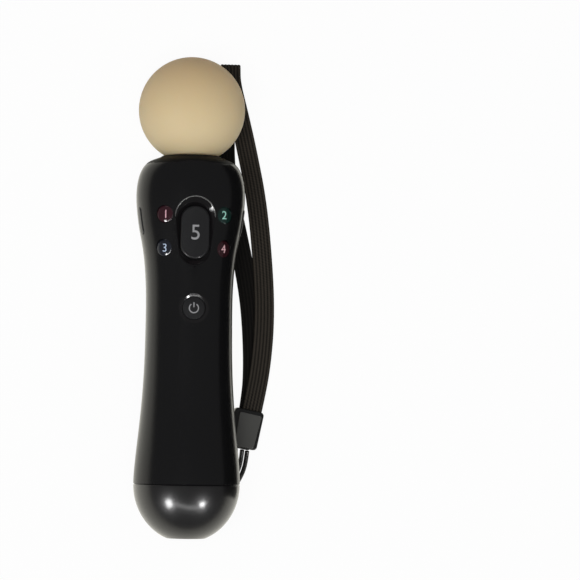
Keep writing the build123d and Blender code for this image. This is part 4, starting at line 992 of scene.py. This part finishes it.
def route_points(curve):
    """Points along the curve, read from it with no bevel."""
    bpy.context.view_layer.update()
    shape = curve.evaluated_get(bpy.context.evaluated_depsgraph_get())
    mesh = bpy.data.meshes.new_from_object(shape)
    return [vertex.co.copy() for vertex in mesh.vertices]


def strip_frames(points):
    """At each point of a flat strip: the place, the way across it and the way out of its face."""
    frames = []
    across = None
    for index, point in enumerate(points):
        before = points[max(index - 1, 0)]
        after = points[min(index + 1, len(points) - 1)]
        along = (after - before).normalized()
        if across is None:
            across = along.cross(Vector((0, 0, 1)))
        across = (across - along * across.dot(along)).normalized()
        level = Vector((across.x, across.y, 0)).normalized()
        across = (level - along * level.dot(along)).normalized()
        frames.append((point, across, across.cross(along)))
    return frames


def ribbed_section(share, sizes):
    """A point round the webbing's section, over its face and back under it, with ribs on both."""
    edge_share = 0.02
    over = share < 0.5
    way = 2 * share if over else 2 - 2 * share
    rise = sizes.webbing_thickness / 2
    rise += sizes.rib_height * (0.5 - 0.5 * math.cos(2 * math.pi * sizes.rib_count * way))
    edge = min(way, 1 - way, edge_share) / edge_share
    return (way - 0.5) * sizes.webbing_width, rise * math.sqrt(edge) * (1 if over else -1)


class WAND_OT_webbing(bpy.types.Operator):
    """Weave the strap's webbing loop along its route"""

    bl_idname = "wand.webbing"
    bl_label = "Strap webbing"

    def execute(self, context):
        sizes = context.scene.strap_sizes
        tints = context.scene.wand_colours
        curve = route_curve("webbing_route", WEBBING_ROUTE)
        points = route_points(curve)
        bpy.data.objects.remove(curve)
        steps_per_rib = 20
        webbing = flat_grid(sizes.rib_count * steps_per_rib, len(points) - 1)
        frames = strip_frames(points)
        for vertex in webbing.data.vertices:
            row = round((vertex.co.y + 0.5) * (len(points) - 1))
            across, up = ribbed_section(vertex.co.x + 0.5, sizes)
            point, sideways, out = frames[row]
            vertex.co = point + sideways * across + out * up
        weld(webbing, sizes.webbing_thickness / 100)
        bpy.ops.object.mode_set(mode="EDIT")
        bpy.ops.mesh.select_all(action="DESELECT")
        bpy.ops.mesh.select_non_manifold()
        bpy.ops.mesh.edge_face_add()
        bpy.ops.object.mode_set(mode="OBJECT")
        face_outwards(webbing)
        settle(webbing, "woven_strap")
        smooth(webbing, 50)
        assign(webbing, woven_webbing(tints.webbing_deep, tints.webbing, sizes.rib_count))
        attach(webbing, "wand")
        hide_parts("strap_webbing")
        return {"FINISHED"}


class WAND_OT_cord(bpy.types.Operator):
    """Lay the strap's round cord from its end fitting through the cap and back"""

    bl_idname = "wand.cord"
    bl_label = "Strap cord"

    def execute(self, context):
        sizes = context.scene.strap_sizes
        cord = route_curve("round_cord", CORD_ROUTE)
        points = route_points(cord)
        cord.data.bevel_depth = sizes.cord_diameter / 2
        cord.data.bevel_resolution = 5
        cord.data.use_fill_caps = True
        assign(cord, braided_cord(context.scene.wand_colours.cord))
        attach(cord, "wand")
        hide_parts("strap_cord")
        return {"FINISHED"}


class WAND_OT_slider(bpy.types.Operator):
    """Dress the slider's grey plate"""

    bl_idname = "wand.slider"
    bl_label = "Slider plate"

    def execute(self, context):
        plate = satin_plastic("slider_plate_plastic", context.scene.wand_colours.plate, 0.45, 0.00001)
        dress("slider_plate", plate)
        return {"FINISHED"}


def softbox(name, place, aim, size, power):
    """One soft square lamp that points at a place."""
    data = bpy.data.lights.new(name, "AREA")
    data.shape = "RECTANGLE"
    data.size, data.size_y = size
    data.energy = power
    lamp = bpy.data.objects.new(name, data)
    lamp.location = place
    lamp.rotation_euler = (Vector(aim) - Vector(place)).to_track_quat("-Z", "Y").to_euler()
    bpy.context.scene.collection.objects.link(lamp)
    return lamp


def seen_directly(finish):
    """1 for rays from the camera, from gloss or through clear pieces."""
    node = finish.tree.nodes.new("ShaderNodeLightPath")
    rays = [Wire(finish, node.outputs[name])
            for name in ("Is Camera Ray", "Is Glossy Ray", "Is Transmission Ray")]
    return (rays[0] + rays[1] + rays[2]).limited()


# The lamps that only gloss shows: name, place, width and height, and the setting that holds the power
GLOSS_LAMPS = (
    ("front_left_lamp", (-1.04, -0.96, 0.90), (0.36, 0.36), "left_power"),
    ("front_right_lamp", (0.75, -0.99, 1.14), (0.24, 0.24), "right_power"),
    ("front_strip_lamp", (-0.1, -1.05, 1.1), (1.3, 0.14), "strip_power"))
GLOSS_AIM = (0, -0.08, 0.04)
FILL_PLACE, FILL_AIM, FILL_SIZE = (-0.4, -0.25, 1.9), (0, 0.05, 0.02), (1.0, 1.0)
CARD_PLACE, CARD_HEIGHT, CARD_LENGTH = (0.049, -0.001, 0.023), 0.044, 0.178


class WAND_OT_stage(bpy.types.Operator):
    """Lay the pale floor, light the room and set up the camera"""

    bl_idname = "wand.stage"
    bl_label = "Studio"

    def execute(self, context):
        look = context.scene.studio
        self.lay_floor(look)
        for name, place, size, power in GLOSS_LAMPS:
            lamp = softbox(name, place, GLOSS_AIM, size, getattr(look, power))
            lamp.visible_diffuse = False
        fill = softbox("fill_lamp", FILL_PLACE, FILL_AIM, FILL_SIZE, look.fill_power)
        fill.visible_glossy = False
        self.stand_card()
        self.light_room(context, look)
        self.place_camera(context, look)
        return {"FINISHED"}

    def lay_floor(self, look):
        """A white floor with the wand's shadow, dimmer farther out as glossy pieces mirror it."""
        clear_selection()
        bpy.ops.mesh.primitive_plane_add(size=12, location=(0, 0, 0))
        floor = bpy.context.object
        floor.name = "floor"
        finish = Finish("floor_paint")
        tree = finish.tree
        tree.nodes.remove(finish.shader)
        matt = finish.add("ShaderNodeBsdfDiffuse", {}, {"Color": (*look.floor, 1.0)})
        glossy = finish.add("ShaderNodeLightPath", output="Is Glossy Ray")
        across, along, _ = finish.parts(finish.place())
        distance = (across * across + along * along) ** 0.5
        mirrored = finish.add("ShaderNodeVectorMath", {"operation": "SCALE"},
                              {0: look.floor_in_gloss, "Scale": 1.0 / (distance / look.floor_reach + 1.0)})
        paper = finish.blend(glossy, (1, 1, 1), mirrored)
        white = finish.add("ShaderNodeEmission", {}, {"Color": paper, "Strength": 1.0})
        share = seen_directly(finish) * look.floor_white
        surface = finish.add("ShaderNodeMixShader", {}, [share, matt, white])
        tree.links.new(surface.socket, tree.nodes["Material Output"].inputs["Surface"])
        assign(floor, finish)

    def stand_card(self):
        """A dark card beside the wand that only gloss shows."""
        clear_selection()
        bpy.ops.mesh.primitive_plane_add(size=1, location=CARD_PLACE, rotation=(0, math.pi / 2, 0))
        card = bpy.context.object
        card.scale = (CARD_HEIGHT, CARD_LENGTH, 1)
        card.name = "dark_card"
        assign(card, plain("card_black", (0.004, 0.004, 0.004), 0.9))
        for rays in ("camera", "diffuse", "transmission", "shadow"):
            setattr(card, f"visible_{rays}", False)

    def light_room(self, context, look):
        """An even room that glossy pieces mirror as a dim one."""
        world = bpy.data.worlds.new("room")
        context.scene.world = world
        finish = Finish("room", world=world)
        background = finish.tree.nodes["Background"]
        glossy = finish.add("ShaderNodeLightPath", output="Is Glossy Ray")
        camera = finish.add("ShaderNodeLightPath", output="Is Camera Ray")
        strength = glossy * (look.gloss_room - look.sky) + camera * (1 - look.sky) + look.sky
        background.inputs["Color"].default_value = (1, 1, 1, 1)
        finish.feed(background.inputs["Strength"], strength)

    def place_camera(self, context, look):
        """The camera, where the photographer stood."""
        data = bpy.data.cameras.new("view_camera")
        data.lens = look.lens
        data.sensor_width = 36.0
        data.clip_start = 0.01
        camera = bpy.data.objects.new("view_camera", data)
        camera.location = look.camera_place
        camera.rotation_euler = Euler(look.camera_turn, "XYZ")
        context.scene.collection.objects.link(camera)
        context.scene.camera = camera
        context.scene.view_settings.view_transform = "Standard"


# In the order in which they run: the dish, window and hollow are laid on the CAD's own front shell
OPERATORS = (
    WAND_OT_stage, WAND_OT_cord, WAND_OT_webbing, WAND_OT_slider, WAND_OT_dish, WAND_OT_window,
    WAND_OT_home_hollow, WAND_OT_shell, WAND_OT_ball, WAND_OT_face_buttons, WAND_OT_black_buttons,
    WAND_OT_inside)


class WAND_PT_panel(bpy.types.Panel):
    """The wand's sizes, colours and pieces"""

    bl_idname = "WAND_PT_panel"
    bl_label = "Motion wand"
    bl_space_type = "VIEW_3D"
    bl_region_type = "UI"
    bl_category = "Wand"

    def draw(self, context):
        for name, group in PANEL_GROUPS:
            box = self.layout.box()
            settings = getattr(context.scene, name)
            for prop in group.__annotations__:
                box.prop(settings, prop)
        for operator in OPERATORS:
            self.layout.operator(operator.bl_idname)


def register():
    """Tell Blender the settings, the operators and the panel."""
    for name, group in PANEL_GROUPS:
        bpy.utils.register_class(group)
        setattr(bpy.types.Scene, name, bpy.props.PointerProperty(type=group))
    for operator in OPERATORS:
        bpy.utils.register_class(operator)
    bpy.utils.register_class(WAND_PT_panel)


def unregister():
    """Take them out again."""
    bpy.utils.unregister_class(WAND_PT_panel)
    for operator in reversed(OPERATORS):
        bpy.utils.unregister_class(operator)
    for name, group in reversed(PANEL_GROUPS):
        delattr(bpy.types.Scene, name)
        bpy.utils.unregister_class(group)


def main():
    """Build the whole look."""
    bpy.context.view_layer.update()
    register()
    for operator in OPERATORS:
        family, name = operator.bl_idname.split(".")
        getattr(getattr(bpy.ops, family), name)()


if __name__ == "__main__":
    main()
